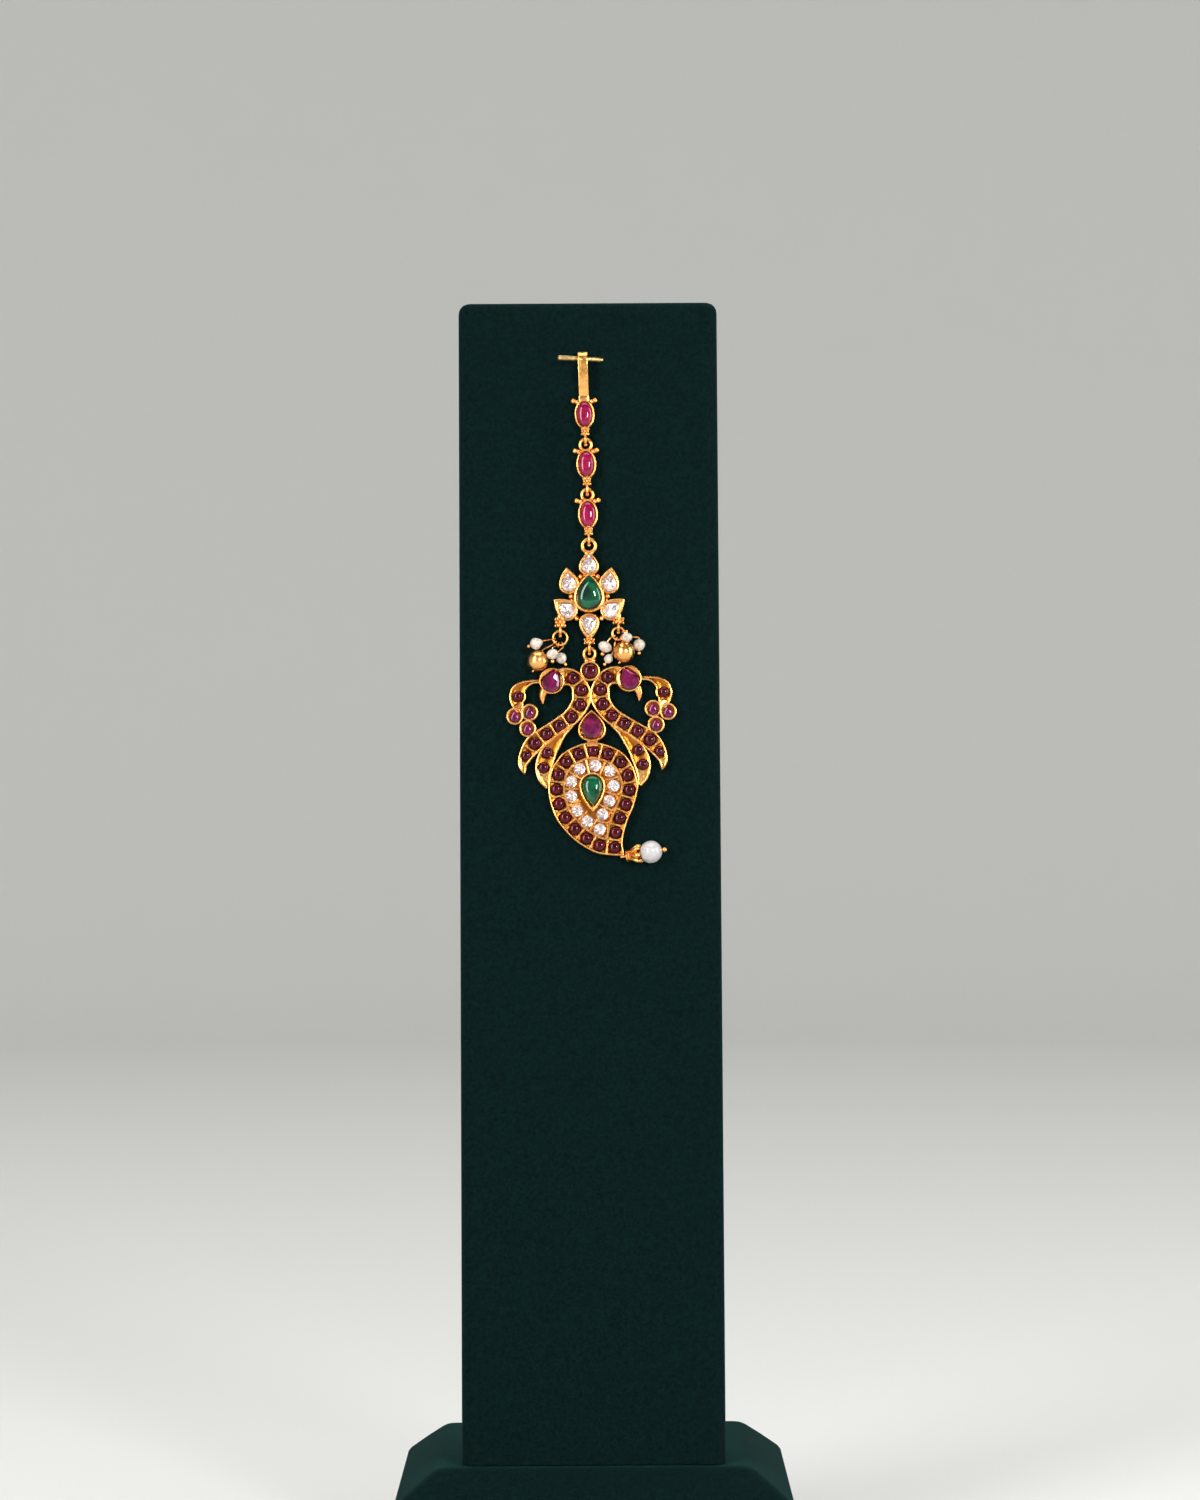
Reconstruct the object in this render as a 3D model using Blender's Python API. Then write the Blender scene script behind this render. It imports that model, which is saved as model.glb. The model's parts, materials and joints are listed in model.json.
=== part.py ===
"""A maang tikka, a forehead ornament, hung on a plain velvet display stand.

The stand's board leans back on a square foot. The jewel hangs by its hook from a brass pin in the board:
a chain of three oval rubies, a flower of pear stones with two clusters of pearls, and a main drop of two
peacocks over a mango, with a pearl at its tip.

The jewel is laid out on the board's face: x to the right, z up along the face, and every depth is
measured out from the velvet. Outlines are lists of (x, z) points.
"""
from collections import namedtuple
from math import acos, cos, hypot, pi, radians, sin, tan

import bmesh
import bpy
from mathutils import Matrix, Vector
from mathutils.geometry import intersect_line_line_2d

for leftover in list(bpy.data.objects):
    bpy.data.objects.remove(leftover)

MM = 0.001

# Stand
BASE_WIDTH = 82 * MM
BASE_TOP_WIDTH = 64 * MM
BASE_HEIGHT = 22 * MM
BASE_SHOULDER = 7 * MM          # height of the sloped shoulders
BASE_EDGE = 2 * MM              # radius of the soft edges
PILLAR_WIDTH = 54.6 * MM
PILLAR_LENGTH = 242.5 * MM      # along the leaning face
PILLAR_DEPTH = 20 * MM
PILLAR_LEAN = radians(5)
PILLAR_SETBACK = 1 * MM         # from the front edge of the base's top face
PILLAR_EDGE = 2.5 * MM
TOUCH_GAP = 0.3 * MM            # between pieces that rest on each other
STAND_PIN_RADIUS = 0.55 * MM
STAND_PIN_REACH = 9.6 * MM      # from the velvet to the free end
STAND_PIN_SUNK = 4 * MM         # inside the board
STAND_PIN_SLANT = radians(28)   # between the pin and the velvet
STAND_PIN_FIT = 0.15 * MM       # round the pin in its hole

# Wires, loops and small fittings
JEWEL_BACK = TOUCH_GAP          # depth of the backs of the settings
LOOP_DEPTH = 1.55 * MM          # depth of the chain's rings and loops
LINK_WIRE = 0.37 * MM           # radius of the rings' wire
LOOP_WIRE = 0.34 * MM           # radius of the loops' wire
LOOP_PLAY = 0.18 * MM           # between a ring's wire and the loop round it
COIL_RADIUS = 0.92 * MM
COIL_TURNS = 3
GRANULE_RADIUS = 0.55 * MM
FLOWER_GRANULE = 0.65 * MM
RING_SIDES = 12
WIRE_SIDES = 5
COIL_SIDES = 10
STONE_FIT = 0.14 * MM           # between a stone and its setting
FLAT_WITHIN = radians(0.3)      # faces this close to one plane become one

# Chain of oval rubies
CHAIN_LEAN = radians(1.6)
RUBY_WIDTH = 3.1 * MM
RUBY_HEIGHT = 5.1 * MM
BEZEL_WALL = 0.45 * MM
BEZEL_FRONT = 2.5 * MM
BEZEL_SEAT = 1.3 * MM
BEZEL_SIDES = 16
LINK_RING_RADIUS = 1.2 * MM     # to the middle of the wire
RING_ABOVE_RUBY = 4.15 * MM     # from a ruby's centre up to its own ring's centre
LOOP_BELOW_RUBY = 5.25 * MM     # and down to the loop's centre
RUBY_DOME = 0.75 * MM
GRANULE_OUT = 2.3 * MM
GRANULE_UP = 3.0 * MM

# Hook
HOOK_WIDTH = 2.1 * MM
HOOK_TAIL_WIDTH = 1.3 * MM
HOOK_THICKNESS = 0.5 * MM
HOOK_INNER_RADIUS = 1.35 * MM
HOOK_RISE = 11.5 * MM           # from the first ruby's centre to the middle of the hook's arch
HOOK_TAIL = 2.2 * MM
HOOK_LEG = [(0, 0), (0.4, 0.3), (0.82, 0.7)]   # points of the leg: shares of the way out and up
PIN_UNDER_ARCH = 0.25 * MM      # the pin's axis above the middle of the arch

# Flower
FLOWER_HEIGHT = 181 * MM        # its centre above the foot of the board, along the face
FLOWER_RING_RADIUS = 1.38 * MM
FLOWER_RING_WIRE = 0.43 * MM
FLOWER_RING_UP = 9.95 * MM
PETAL_STONE_WIDTH = 3.0 * MM
PETAL_STONE_LENGTH = 3.8 * MM
PETAL_FRONT = 2.3 * MM
PETAL_SEAT = 1.3 * MM
PETAL_POINT = 0.75 * MM         # how far a petal's metal runs on past its wall at the tip
WHITE_CROWN = 0.45 * MM
GREEN_WIDTH = 5.0 * MM
GREEN_LENGTH = 6.9 * MM
GREEN_WALL = 0.62 * MM
GREEN_FRONT = 3.1 * MM
GREEN_SEAT = 1.8 * MM
GREEN_DOME = 0.9 * MM
FLOWER_PLATE = 8.4 * MM         # behind the petals
FLOWER_WIDTH = 15.2 * MM        # over the tips of the lower petals
FLOWER_LENGTH = 18.3 * MM       # from the top petal's tip to the bottom petal's
DROP_LOOP_OUT = 6.1 * MM        # from the flower's middle line to a cluster's loop
DROP_COIL_TOP = 4.6 * MM
DROP_COIL_RADIUS = 1.25 * MM
MAIN_LOOP_DOWN = 11.63 * MM     # the axis that the main drop swings on
MAIN_COIL_TOP = 9.25 * MM
MAIN_COIL_RADIUS = 1.15 * MM

# Clusters of drops
JUMP_RING_WIRE = 0.27 * MM
HEADPIN_WIRE = 0.15 * MM
HEADPIN_PLAY = 0.12 * MM        # between the jump ring's wire and a headpin's loop
BEAD_SIDES = 10
HEADPIN_SIDES = 5
PEAR_SIDES = 12
PLUME_SIDES = 10
CUT_SIDES = 8

# Main drop
PENDANT_TILT = radians(1.5)
PENDANT_RING_RADIUS = 1.2 * MM
PENDANT_RING_UP = 3.65 * MM     # from the top garnet's centre
BIRD_SPAN = 17.1 * MM           # from the pendant's middle line to a crest's outer edge
BIRD_DROP = 21.2 * MM           # from the top garnet's centre to the wing tips
BAND_WIDTH = 3.6 * MM
RIM = 0.47 * MM
BAR = 0.34 * MM
CELL_FLOOR = 1.4 * MM
GIRDLE_RISE = 0.4 * MM          # of the small stones above the cells' floor
SMALL_DOME = 0.55 * MM
BAND_GARNETS = 8
FIRST_GARNET = 1.9 * MM         # along the band from the head
NECK_START = 0.55 * MM          # where the channel starts
BAND_SOLID_TIP = 2.6 * MM       # the wing's tip beyond the channel
FEATHER_START = 5.0 * MM        # of the channel, along the feather
FEATHER_END = 11.6 * MM
BAND_FRONT = 2.05 * MM
FEATHER_WIDTH = 3.6 * MM
FEATHER_FRONT = 1.85 * MM
HEAD_WIDTH = 5.3 * MM
HEAD_HEIGHT = 5.5 * MM
HEAD_FRONT = 2.7 * MM
HEAD_SEAT = 1.9 * MM
HEAD_STONE_WIDTH = 3.5 * MM
HEAD_STONE_LENGTH = 4.8 * MM
HEAD_STONE_TURN = radians(26)
BEAK_WIDTH = 1.4 * MM
BEAK_FRONT = 2.2 * MM
CREST_WIDTH = 3.4 * MM
CREST_FRONT = 1.75 * MM
PLUME_RADIUS = 1.76 * MM
PLUME_FRONT = 2.15 * MM
PLUME_STONE_WIDTH = 1.9 * MM
PLUME_STONE_LENGTH = 2.5 * MM
TOP_BEZEL_RADIUS = 2.08 * MM
TOP_BEZEL_FRONT = 2.5 * MM
TOP_GARNET_RADIUS = 1.45 * MM
TOP_GARNET_SEAT = 1.6 * MM
CENTRE_DROP = 11.5 * MM         # from the top garnet's centre to the centre ruby's
CENTRE_WIDTH = 4.15 * MM
CENTRE_LENGTH = 4.95 * MM
CENTRE_WALL = 0.75 * MM
CENTRE_FRONT = 2.6 * MM
CENTRE_SEAT = 1.5 * MM
MANGO_WIDTH = 19 * MM
MANGO_HEIGHT = 24.1 * MM
MANGO_TOP_DROP = 14.9 * MM      # from the top garnet's centre
MANGO_FRONT = 2.25 * MM
MANGO_SIDES = 32
MANGO_GARNETS = 18
MANGO_WHITES = 11
RING_OF_GARNETS = 3.3 * MM      # from the mango's edge to the rim inside its garnets
GARNET_RADIUS = 1.18 * MM
GARNET_PITCH = 3.15 * MM
SMALL_GARNET_RADIUS = 1.0 * MM
WHITE_RADIUS = 1.24 * MM
MANGO_GREEN_WIDTH = 3.8 * MM
MANGO_GREEN_LENGTH = 5.9 * MM
MANGO_GREEN_WALL = 0.6 * MM
MANGO_GREEN_FRONT = 2.9 * MM
MANGO_GREEN_SEAT = 1.7 * MM
TIP_CAP_RADIUS = 1.9 * MM
TIP_CAP_START = 0.35 * MM       # from the mango's tip
TIP_CAP_LENGTH = 3.3 * MM
TIP_COLLAR_RADIUS = 1.3 * MM
TIP_COLLAR_LENGTH = 1.05 * MM
TIP_PEARL_RADIUS = 2.35 * MM
TIP_PEARL_SIDES = 14
TIP_PEARL_ROWS = 8
TIP_PEARL_PLACE = 5.7 * MM      # its centre along the wire from the mango's tip
TIP_WIRE = 0.3 * MM
TIP_WIRE_PLAY = 0.14 * MM
TIP_BALL = 0.55 * MM
TIP_DEPTH = 1.45 * MM
TIP_TURN = radians(7)
TIP_OUT = radians(13)           # so that the pearl clears the velvet

# The lower petals spread wider than the upper ones.
# x and z are shares of the flower's width and length, from its centre to a white stone's centre;
# turn is the tip's angle to the left of straight up, in degrees; point is its share of PETAL_POINT.
Petal = namedtuple("Petal", "x z turn point")
PETALS = [
    Petal(0.00, 0.337, 0, 0.1),
    Petal(0.28, 0.125, -9, 0.8),
    Petal(0.316, -0.190, -52, 1.1),
    Petal(0.00, -0.362, 180, 0.35),
    Petal(-0.316, -0.190, 52, 1.1),
    Petal(-0.28, 0.125, 9, 0.8),
]

# Stones, bezels and granules lie at shares of the width and the drop of the piece that holds them.
Spot = namedtuple("Spot", "out down")
FLOWER_GRANULES = [Spot(0.118, -0.187), Spot(0.262, 0.040), Spot(0.159, 0.290)]

# The jump rings that carry the clusters: side is -1 for the left, radius is to the middle of the wire,
# and loop_down is the drop from the flower's centre to the flower's loop round the ring's top wire.
Cluster = namedtuple("Cluster", "name side radius loop_down")
LEFT_CLUSTER = Cluster("jump_ring_left", -1, 1.5 * MM, 7.95 * MM)
RIGHT_CLUSTER = Cluster("jump_ring_right", 1, 1.3 * MM, 7.3 * MM)

# One row for each bead of a cluster. x and z are distances from its jump ring's centre, depth is
# measured out from the velvet, at is the angle on the ring of its headpin's loop and hang the angle of
# its headpin from straight down, both in degrees, across and along are its radii, and head is the
# radius of the pin's end. All the lengths are in millimetres.
Drop = namedtuple("Drop", "name x z depth at hang across along head")
LEFT_DROPS = [
    Drop("seed_pearl_1", -4.95, -1.3, 3.4, 190, -70, 1.36, 1.38, 0.4),
    Drop("seed_pearl_2", -1.6, -3.6, 3.85, 256, 0, 1.35, 1.12, 0.42),
    Drop("seed_pearl_3", 0.2, -4.25, 1.8, 290, 35, 1.2, 1.2, 0.4),
    Drop("gold_ball_left", -4.7, -4.85, 2.55, 222, -25, 2.25, 2.25, 0.22),
]
RIGHT_DROPS = [
    Drop("seed_pearl_4", 1.7, -1.1, 4.95, 20, 0, 1.2, 1.0, 0.36),
    Drop("seed_pearl_5", 4.3, -2.4, 1.65, -20, 0, 1.3, 1.3, 0.42),
    Drop("seed_pearl_6", -2.75, -2.8, 1.9, 207, -23, 1.55, 1.15, 0.45),
    Drop("seed_pearl_7", -2.05, -5.2, 1.45, 250, -35, 1.0, 1.1, 0.42),
    Drop("gold_ball_right", 1.15, -4.0, 2.55, -60, -25, 2.25, 2.25, 0.22),
]

# Neck and wing of the right-hand peacock, from its head to the wing tip, and its lower feather and crest.
# out and down are shares of BIRD_SPAN and BIRD_DROP from the top garnet, half is the half width as a
# share of the band's, feather's or crest's own width.
Station = namedtuple("Station", "out down half")
BAND = [
    Station(0.319, 0.035, 0.50),
    Station(0.215, 0.062, 0.49),
    Station(0.137, 0.137, 0.49),
    Station(0.111, 0.231, 0.57),
    Station(0.137, 0.328, 0.53),
    Station(0.245, 0.445, 0.49),
    Station(0.402, 0.532, 0.47),
    Station(0.561, 0.610, 0.47),
    Station(0.710, 0.700, 0.53),
    Station(0.820, 0.820, 0.40),
    Station(0.861, 0.915, 0.24),
    Station(0.839, 0.998, 0.03),
]
FEATHER = [
    Station(0.240, 0.530, 0.10),
    Station(0.360, 0.615, 0.20),
    Station(0.450, 0.700, 0.34),
    Station(0.540, 0.795, 0.48),
    Station(0.600, 0.925, 0.50),
    Station(0.605, 1.040, 0.36),
    Station(0.560, 1.140, 0.12),
]
BEAK = [
    Station(0.585, 0.165, 0.50),
    Station(0.597, 0.235, 0.42),
    Station(0.594, 0.310, 0.05),
]
CREST = [
    Station(0.590, 0.085, 0.12),
    Station(0.715, 0.088, 0.15),
    Station(0.815, 0.120, 0.26),
    Station(0.885, 0.175, 0.40),
    Station(0.905, 0.240, 0.44),
    Station(0.905, 0.295, 0.32),
    Station(0.870, 0.378, 0.20),
]

# Stones and round bezels of the right-hand peacock.
FEATHER_GARNETS = [Spot(0.558, 0.793), Spot(0.608, 0.940)]
CREST_GARNET = Spot(0.894, 0.226)
PLUMES = [Spot(0.755, 0.390), Spot(0.938, 0.424), Spot(0.785, 0.550)]
HEAD = Spot(0.468, 0.083)

# The mango's edge, from its tip along the bottom, up the left, over the top and down the right flank.
# x is a share of MANGO_WIDTH from the pendant's middle line, down a share of MANGO_HEIGHT from its top.
Edge = namedtuple("Edge", "x down")
MANGO = [
    Edge(0.314, 1.000),
    Edge(0.108, 0.984),
    Edge(-0.030, 0.953),
    Edge(-0.214, 0.858),
    Edge(-0.343, 0.750),
    Edge(-0.436, 0.638),
    Edge(-0.500, 0.455),
    Edge(-0.484, 0.282),
    Edge(-0.412, 0.165),
    Edge(-0.281, 0.064),
    Edge(0.000, 0.000),
    Edge(0.294, 0.080),
    Edge(0.429, 0.210),
    Edge(0.487, 0.370),
    Edge(0.475, 0.455),
    Edge(0.427, 0.579),
    Edge(0.366, 0.681),
    Edge(0.319, 0.790),
    Edge(0.298, 0.890),
    Edge(0.314, 1.000),
]
MANGO_GREEN_PLACE = Edge(-0.016, 0.415)


# Materials

def make_material(name, colour, roughness, metallic):
    material = bpy.data.materials.new(name)
    material.use_nodes = True
    shader = material.node_tree.nodes["Principled BSDF"]
    shader.inputs["Base Color"].default_value = (*colour, 1)
    shader.inputs["Roughness"].default_value = roughness
    shader.inputs["Metallic"].default_value = metallic
    material.diffuse_color = (*colour, 1)
    return material


# Points and curves

def smooth_curve(points, steps):
    """Points on a smooth curve through the given ones, with the same number of steps in each span."""
    padded = [2 * points[0] - points[1], *points, 2 * points[-1] - points[-2]]
    curve = []
    for before, start, end, after in zip(padded, padded[1:], padded[2:], padded[3:]):
        bend = 2 * before - 5 * start + 4 * end - after
        twist = 3 * start - before - 3 * end + after
        for step in range(steps):
            t = step / steps
            curve.append(start + 0.5 * (t * (end - before) + t ** 2 * bend + t ** 3 * twist))
    curve.append(points[-1].copy())
    return curve


def distances_along(curve):
    """How far along the curve each of its points lies."""
    run = [0.0]
    for start, end in zip(curve, curve[1:]):
        run.append(run[-1] + hypot(end.x - start.x, end.y - start.y))
    return run


def point_along(curve, distance):
    """The point at a distance along a curve, and the curve's direction there."""
    run = distances_along(curve)
    last = len(curve) - 2
    index = next((i for i in range(last) if run[i + 1] > distance), last)
    start, end = curve[index], curve[index + 1]
    share = (distance - run[index]) / (run[index + 1] - run[index])
    return start + share * (end - start), (end - start).to_2d().normalized()


def spread_along(curve, count, first=0.0, last=None):
    """Points and directions at even distances along a curve."""
    if last is None:
        last = distances_along(curve)[-1]
    step = (last - first) / (count - 1)
    return [point_along(curve, first + i * step) for i in range(count)]


def right_of(direction):
    return Vector((direction.y, -direction.x))


def inset_loop(loop, distance):
    """A loop with one corner, moved inwards: both flanks run on until they cross at the new corner."""
    shifted = []
    for index, point in enumerate(loop):
        before = loop[max(index - 1, 0)]
        after = loop[min(index + 1, len(loop) - 1)]
        shifted.append(point + distance * right_of((after - before).normalized()))
    for start in range(len(shifted) // 3):
        for end in range(len(shifted) - 2, 2 * len(shifted) // 3, -1):
            corner = intersect_line_line_2d(*shifted[start:start + 2], *shifted[end:end + 2])
            if corner:
                return [corner, *shifted[start + 1:end + 1], corner.copy()]
    return shifted


def even_outline(loop, sides):
    """The outline of a loop with one corner, as evenly spaced points that keep the corner."""
    return [point for point, _ in spread_along(loop, sides + 1)[:-1]]


def oval(width, height, sides, centre=(0, 0)):
    middle = Vector(centre)
    angles = [2 * pi * i / sides for i in range(sides)]
    return [middle + Vector((width / 2 * sin(a), height / 2 * cos(a))) for a in angles]


def disc(radius, sides, centre=(0, 0)):
    return oval(2 * radius, 2 * radius, sides, centre)


def pear(width, length, sides, turn=0.0, centre=(0, 0)):
    """A teardrop with its tip turned to the left of straight up."""
    widest = 4 / (3 * 3 ** 0.5)      # of the curve below, before it is scaled to the width
    middle = Vector(centre)
    outline = []
    for index in range(sides):
        t = 2 * pi * index / sides
        x = width / 2 * sin(t) * sin(t / 2) / widest
        z = length / 2 * cos(t)
        outline.append(middle + Vector((x * cos(turn) - z * sin(turn), x * sin(turn) + z * cos(turn))))
    return outline


def mirrored(outline):
    return [Vector((-point.x, point.y)) for point in reversed(outline)]


def ribbon(stations, inset=0.0, first=0.0, last=None, sections=12):
    """The outline of a band that follows stations of (x, z, half width), narrowed by the inset."""
    sides = ([], [])
    for station, direction in spread_along(stations, sections, first, last):
        half = max(station.z - inset, BAR / 4)
        across = half * right_of(direction)
        sides[0].append(station.to_2d() + across)
        sides[1].append(station.to_2d() - across)
    return sides[0] + sides[1][::-1]


def bar_across(middle, direction, length, width=BAR):
    """A thin rectangle across a channel that runs in the direction."""
    across = length / 2 * right_of(direction)
    along = width / 2 * direction
    corners = [(1, 1), (1, -1), (-1, -1), (-1, 1)]
    return [middle + x * across + z * along for x, z in corners]


# Solids

def new_object(name, shape):
    mesh = bpy.data.meshes.new(name)
    shape.to_mesh(mesh)
    shape.free()
    item = bpy.data.objects.new(name, mesh)
    bpy.context.scene.collection.objects.link(item)
    return item


def skin(name, loops, ring=False):
    """One closed solid through loops of as many points, with flat ends or closed round into a ring."""
    shape = bmesh.new()
    rows = [[shape.verts.new(point) for point in loop] for loop in loops]
    pairs = list(zip(rows, rows[1:]))
    if ring:
        pairs.append((rows[-1], rows[0]))
    else:
        shape.faces.new(rows[0])
        shape.faces.new(rows[-1])
    for near, far in pairs:
        for corners in zip(near, near[1:] + near[:1], far[1:] + far[:1], far):
            shape.faces.new(corners)
    bmesh.ops.recalc_face_normals(shape, faces=shape.faces)
    return new_object(name, shape)


def at_depth(outline, depth):
    return [(point.x, -depth, point.y) for point in outline]


def prism(outline, back, front):
    return skin("prism", [at_depth(outline, back), at_depth(outline, front)])


def tube(points, radius, sides):
    """A round wire along a few points."""
    loops = []
    across = None
    for before, point, after in zip([points[0], *points], points, [*points[1:], points[-1]]):
        direction = (after - before).normalized()
        across = direction.orthogonal() if across is None else across - across.dot(direction) * direction
        across.normalize()
        up = direction.cross(across)
        angles = [2 * pi * i / sides for i in range(sides)]
        loops.append([point + radius * (cos(a) * across + sin(a) * up) for a in angles])
    return skin("tube", loops)


def cone_between(start, end, radii, sides):
    """A round solid along a line, with its radii at even steps between the two ends."""
    axis = (end - start).normalized()
    across = axis.orthogonal().normalized()
    up = axis.cross(across)
    loops = []
    for index, radius in enumerate(radii):
        middle = start + (end - start) * index / (len(radii) - 1)
        angles = [2 * pi * i / sides for i in range(sides)]
        loops.append([middle + radius * (cos(a) * across + sin(a) * up) for a in angles])
    return skin("cone", loops)


def wire_ring(centre, across, up, radius, wire, sides=RING_SIDES, wire_sides=WIRE_SIDES):
    """A closed wire ring in the plane of the two directions."""
    axis = across.cross(up)
    loops = []
    for index in range(sides):
        angle = 2 * pi * (index + 0.5) / sides
        outwards = cos(angle) * across + sin(angle) * up
        bends = [2 * pi * i / wire_sides for i in range(wire_sides)]
        loops.append([centre + (radius + wire * cos(b)) * outwards + wire * sin(b) * axis for b in bends])
    return skin("ring", loops, ring=True)


def granule(x, z, depth, radius=GRANULE_RADIUS):
    shape = bmesh.new()
    place = Matrix.Translation((x, -depth, z))
    bmesh.ops.create_icosphere(shape, subdivisions=1, radius=radius, matrix=place)
    return new_object("granule", shape)


def coil(x, top, bottom, radius, depth=LOOP_DEPTH):
    """Turns of wire round an upright stem, as one ridged barrel."""
    loops = []
    steps = 2 * COIL_TURNS
    for step in range(steps + 1):
        height = top + (bottom - top) * step / steps
        reach = radius if step % 2 else 0.8 * radius
        angles = [2 * pi * i / COIL_SIDES for i in range(COIL_SIDES)]
        loops.append([(x + reach * cos(a), -depth + reach * sin(a), height) for a in angles])
    return skin("coil", loops)


def bead(name, radius, half_height, hole, sides=BEAD_SIDES, rows=5):
    """A round bead drilled along z."""
    top = acos(hole / radius)
    loops = []
    for row in range(rows + 1):
        angle = -top + 2 * top * row / rows
        reach, height = radius * cos(angle), half_height * sin(angle)
        turns = [2 * pi * i / sides for i in range(sides)]
        loops.append([(reach * cos(a), reach * sin(a), height) for a in turns])
    return skin(name, loops, ring=True)


def shrunk(outline, share):
    middle = sum(outline, Vector((0, 0))) / len(outline)
    return [middle + share * (point - middle) for point in outline]


def stone(name, outline, seat, girdle, height, table=0.5, domed=True):
    """A stone with an upright girdle, a crown in one or two rows of facets and a flat table."""
    levels = [(1.0, seat), (1.0, girdle), (table, girdle + height)]
    if domed:
        levels.insert(2, (0.5 + table / 2, girdle + 0.72 * height))
    return skin(name, [at_depth(shrunk(outline, share), depth) for share, depth in levels])


def combine(base, others, operation):
    """Joins the others to the base, or cuts them from it, and uses them up."""
    operands = bpy.data.collections.new("operands")
    for other in others:
        operands.objects.link(other)
    change = base.modifiers.new("combine", "BOOLEAN")
    change.operation = operation
    change.solver = "EXACT"
    change.operand_type = "COLLECTION"
    change.collection = operands
    evaluated = base.evaluated_get(bpy.context.evaluated_depsgraph_get())
    mesh = bpy.data.meshes.new_from_object(evaluated)
    base.modifiers.clear()
    base.data = mesh
    for other in others:
        bpy.data.objects.remove(other)
    bpy.data.collections.remove(operands)
    return base


def soldered(name, solids, pockets=(), fittings=()):
    """Solids joined into one, with the pockets cut and the fittings then joined inside them."""
    base, *others = solids
    combine(base, others, "UNION")
    if pockets:
        combine(base, pockets, "DIFFERENCE")
    if fittings:
        combine(base, fittings, "UNION")
    merge_flat_faces(base)
    base.name = name
    return base


def merge_flat_faces(item):
    shape = bmesh.new()
    shape.from_mesh(item.data)
    bmesh.ops.dissolve_limit(shape, angle_limit=FLAT_WITHIN, verts=shape.verts, edges=shape.edges)
    shape.to_mesh(item.data)
    shape.free()


def finish(item, material, parent, location=(0, 0, 0), smooth=True):
    item.data.materials.clear()
    item.data.materials.append(material)
    if smooth:
        item.data.shade_smooth()
        item.data.set_sharp_from_angle(angle=radians(35))
    item.parent = parent
    item.location = location
    return item


def make_empty(name, parent=None, location=(0, 0, 0), rotation=(0, 0, 0)):
    item = bpy.data.objects.new(name, None)
    bpy.context.scene.collection.objects.link(item)
    item.parent = parent
    item.location = location
    item.rotation_euler = rotation
    return item


# Stand

def stand_pin_line(hook_x, arch_height):
    """Where the pin enters the velvet, and its direction out of it: level, under the hook's arch."""
    slant = sin(STAND_PIN_SLANT)
    outwards = Vector((-cos(STAND_PIN_SLANT), -slant, -slant * tan(PILLAR_LEAN)))
    arch_depth = JEWEL_BACK + HOOK_THICKNESS + HOOK_INNER_RADIUS
    middle = Vector((hook_x, -arch_depth, arch_height + PIN_UNDER_ARCH))
    entry = middle - outwards * arch_depth / slant
    return entry, outwards.normalized()


def make_base(material):
    half, top_half = BASE_WIDTH / 2, BASE_TOP_WIDTH / 2
    corners = [(-1, -1), (1, -1), (1, 1), (-1, 1)]
    levels = [(half, 0), (half, BASE_HEIGHT - BASE_SHOULDER), (top_half, BASE_HEIGHT)]
    base = skin("stand_base", [[(x * reach, y * reach, z) for x, y in corners] for reach, z in levels])
    soften_edges(base, BASE_EDGE, lambda edge: all(vert.co.z > 0 for vert in edge.verts))
    return finish(base, material, None)


def soften_edges(item, radius, wanted):
    shape = bmesh.new()
    shape.from_mesh(item.data)
    edges = [edge for edge in shape.edges if wanted(edge)]
    bmesh.ops.bevel(shape, geom=edges, offset=radius, segments=3, profile=0.5, affect="EDGES")
    shape.to_mesh(item.data)
    shape.free()


def make_pillar(material, face, entry, outwards):
    """The board, cut level at its foot, with a blind hole for the pin."""
    half = PILLAR_WIDTH / 2
    foot_rise = PILLAR_DEPTH * tan(PILLAR_LEAN)
    foot = [(-half, 0, 0), (half, 0, 0), (half, PILLAR_DEPTH, foot_rise), (-half, PILLAR_DEPTH, foot_rise)]
    head = [(x, y, PILLAR_LENGTH) for x, y, _ in foot]
    pillar = skin("stand_pillar", [foot, head])
    soften_edges(pillar, PILLAR_EDGE, lambda edge: max(vert.co.z for vert in edge.verts) > foot_rise)
    radius = STAND_PIN_RADIUS + STAND_PIN_FIT
    sunk = STAND_PIN_SUNK + TOUCH_GAP
    hole = cone_between(entry - sunk * outwards, entry + sunk * outwards, [radius, radius], RING_SIDES)
    combine(pillar, [hole], "DIFFERENCE")
    return finish(pillar, material, face)


def make_stand_pin(material, face, entry, outwards):
    radius = STAND_PIN_RADIUS
    start, end = entry - STAND_PIN_SUNK * outwards, entry + STAND_PIN_REACH * outwards
    pin = cone_between(start, end, [radius, radius], RING_SIDES)
    pin.name = "stand_pin"
    rim = 1.1 * radius
    soften_edges(pin, radius / 3, lambda edge: all((vert.co - end).length < rim for vert in edge.verts))
    return finish(pin, material, face)


# Chain

def loop_and_coil(x, top, ring_top, ring_wire, coil_radius, wire=LOOP_WIRE):
    """A coil on its stem, and below it an edge-on loop round the top wire of the ring that hangs there."""
    inner = ring_wire + LOOP_PLAY
    centre = Vector((x, -LOOP_DEPTH, ring_top))
    loop = wire_ring(centre, Vector((0, 1, 0)), Vector((0, 0, 1)), inner + wire, wire)
    return [coil(x, top, ring_top + inner, coil_radius), loop]


def front_ring(x, z, radius, wire):
    """A ring that faces forwards."""
    return wire_ring(Vector((x, -LOOP_DEPTH, z)), Vector((1, 0, 0)), Vector((0, 0, 1)), radius, wire)


def ruby_outline(grow):
    return oval(RUBY_WIDTH + 2 * grow, RUBY_HEIGHT + 2 * grow, BEZEL_SIDES)


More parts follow.
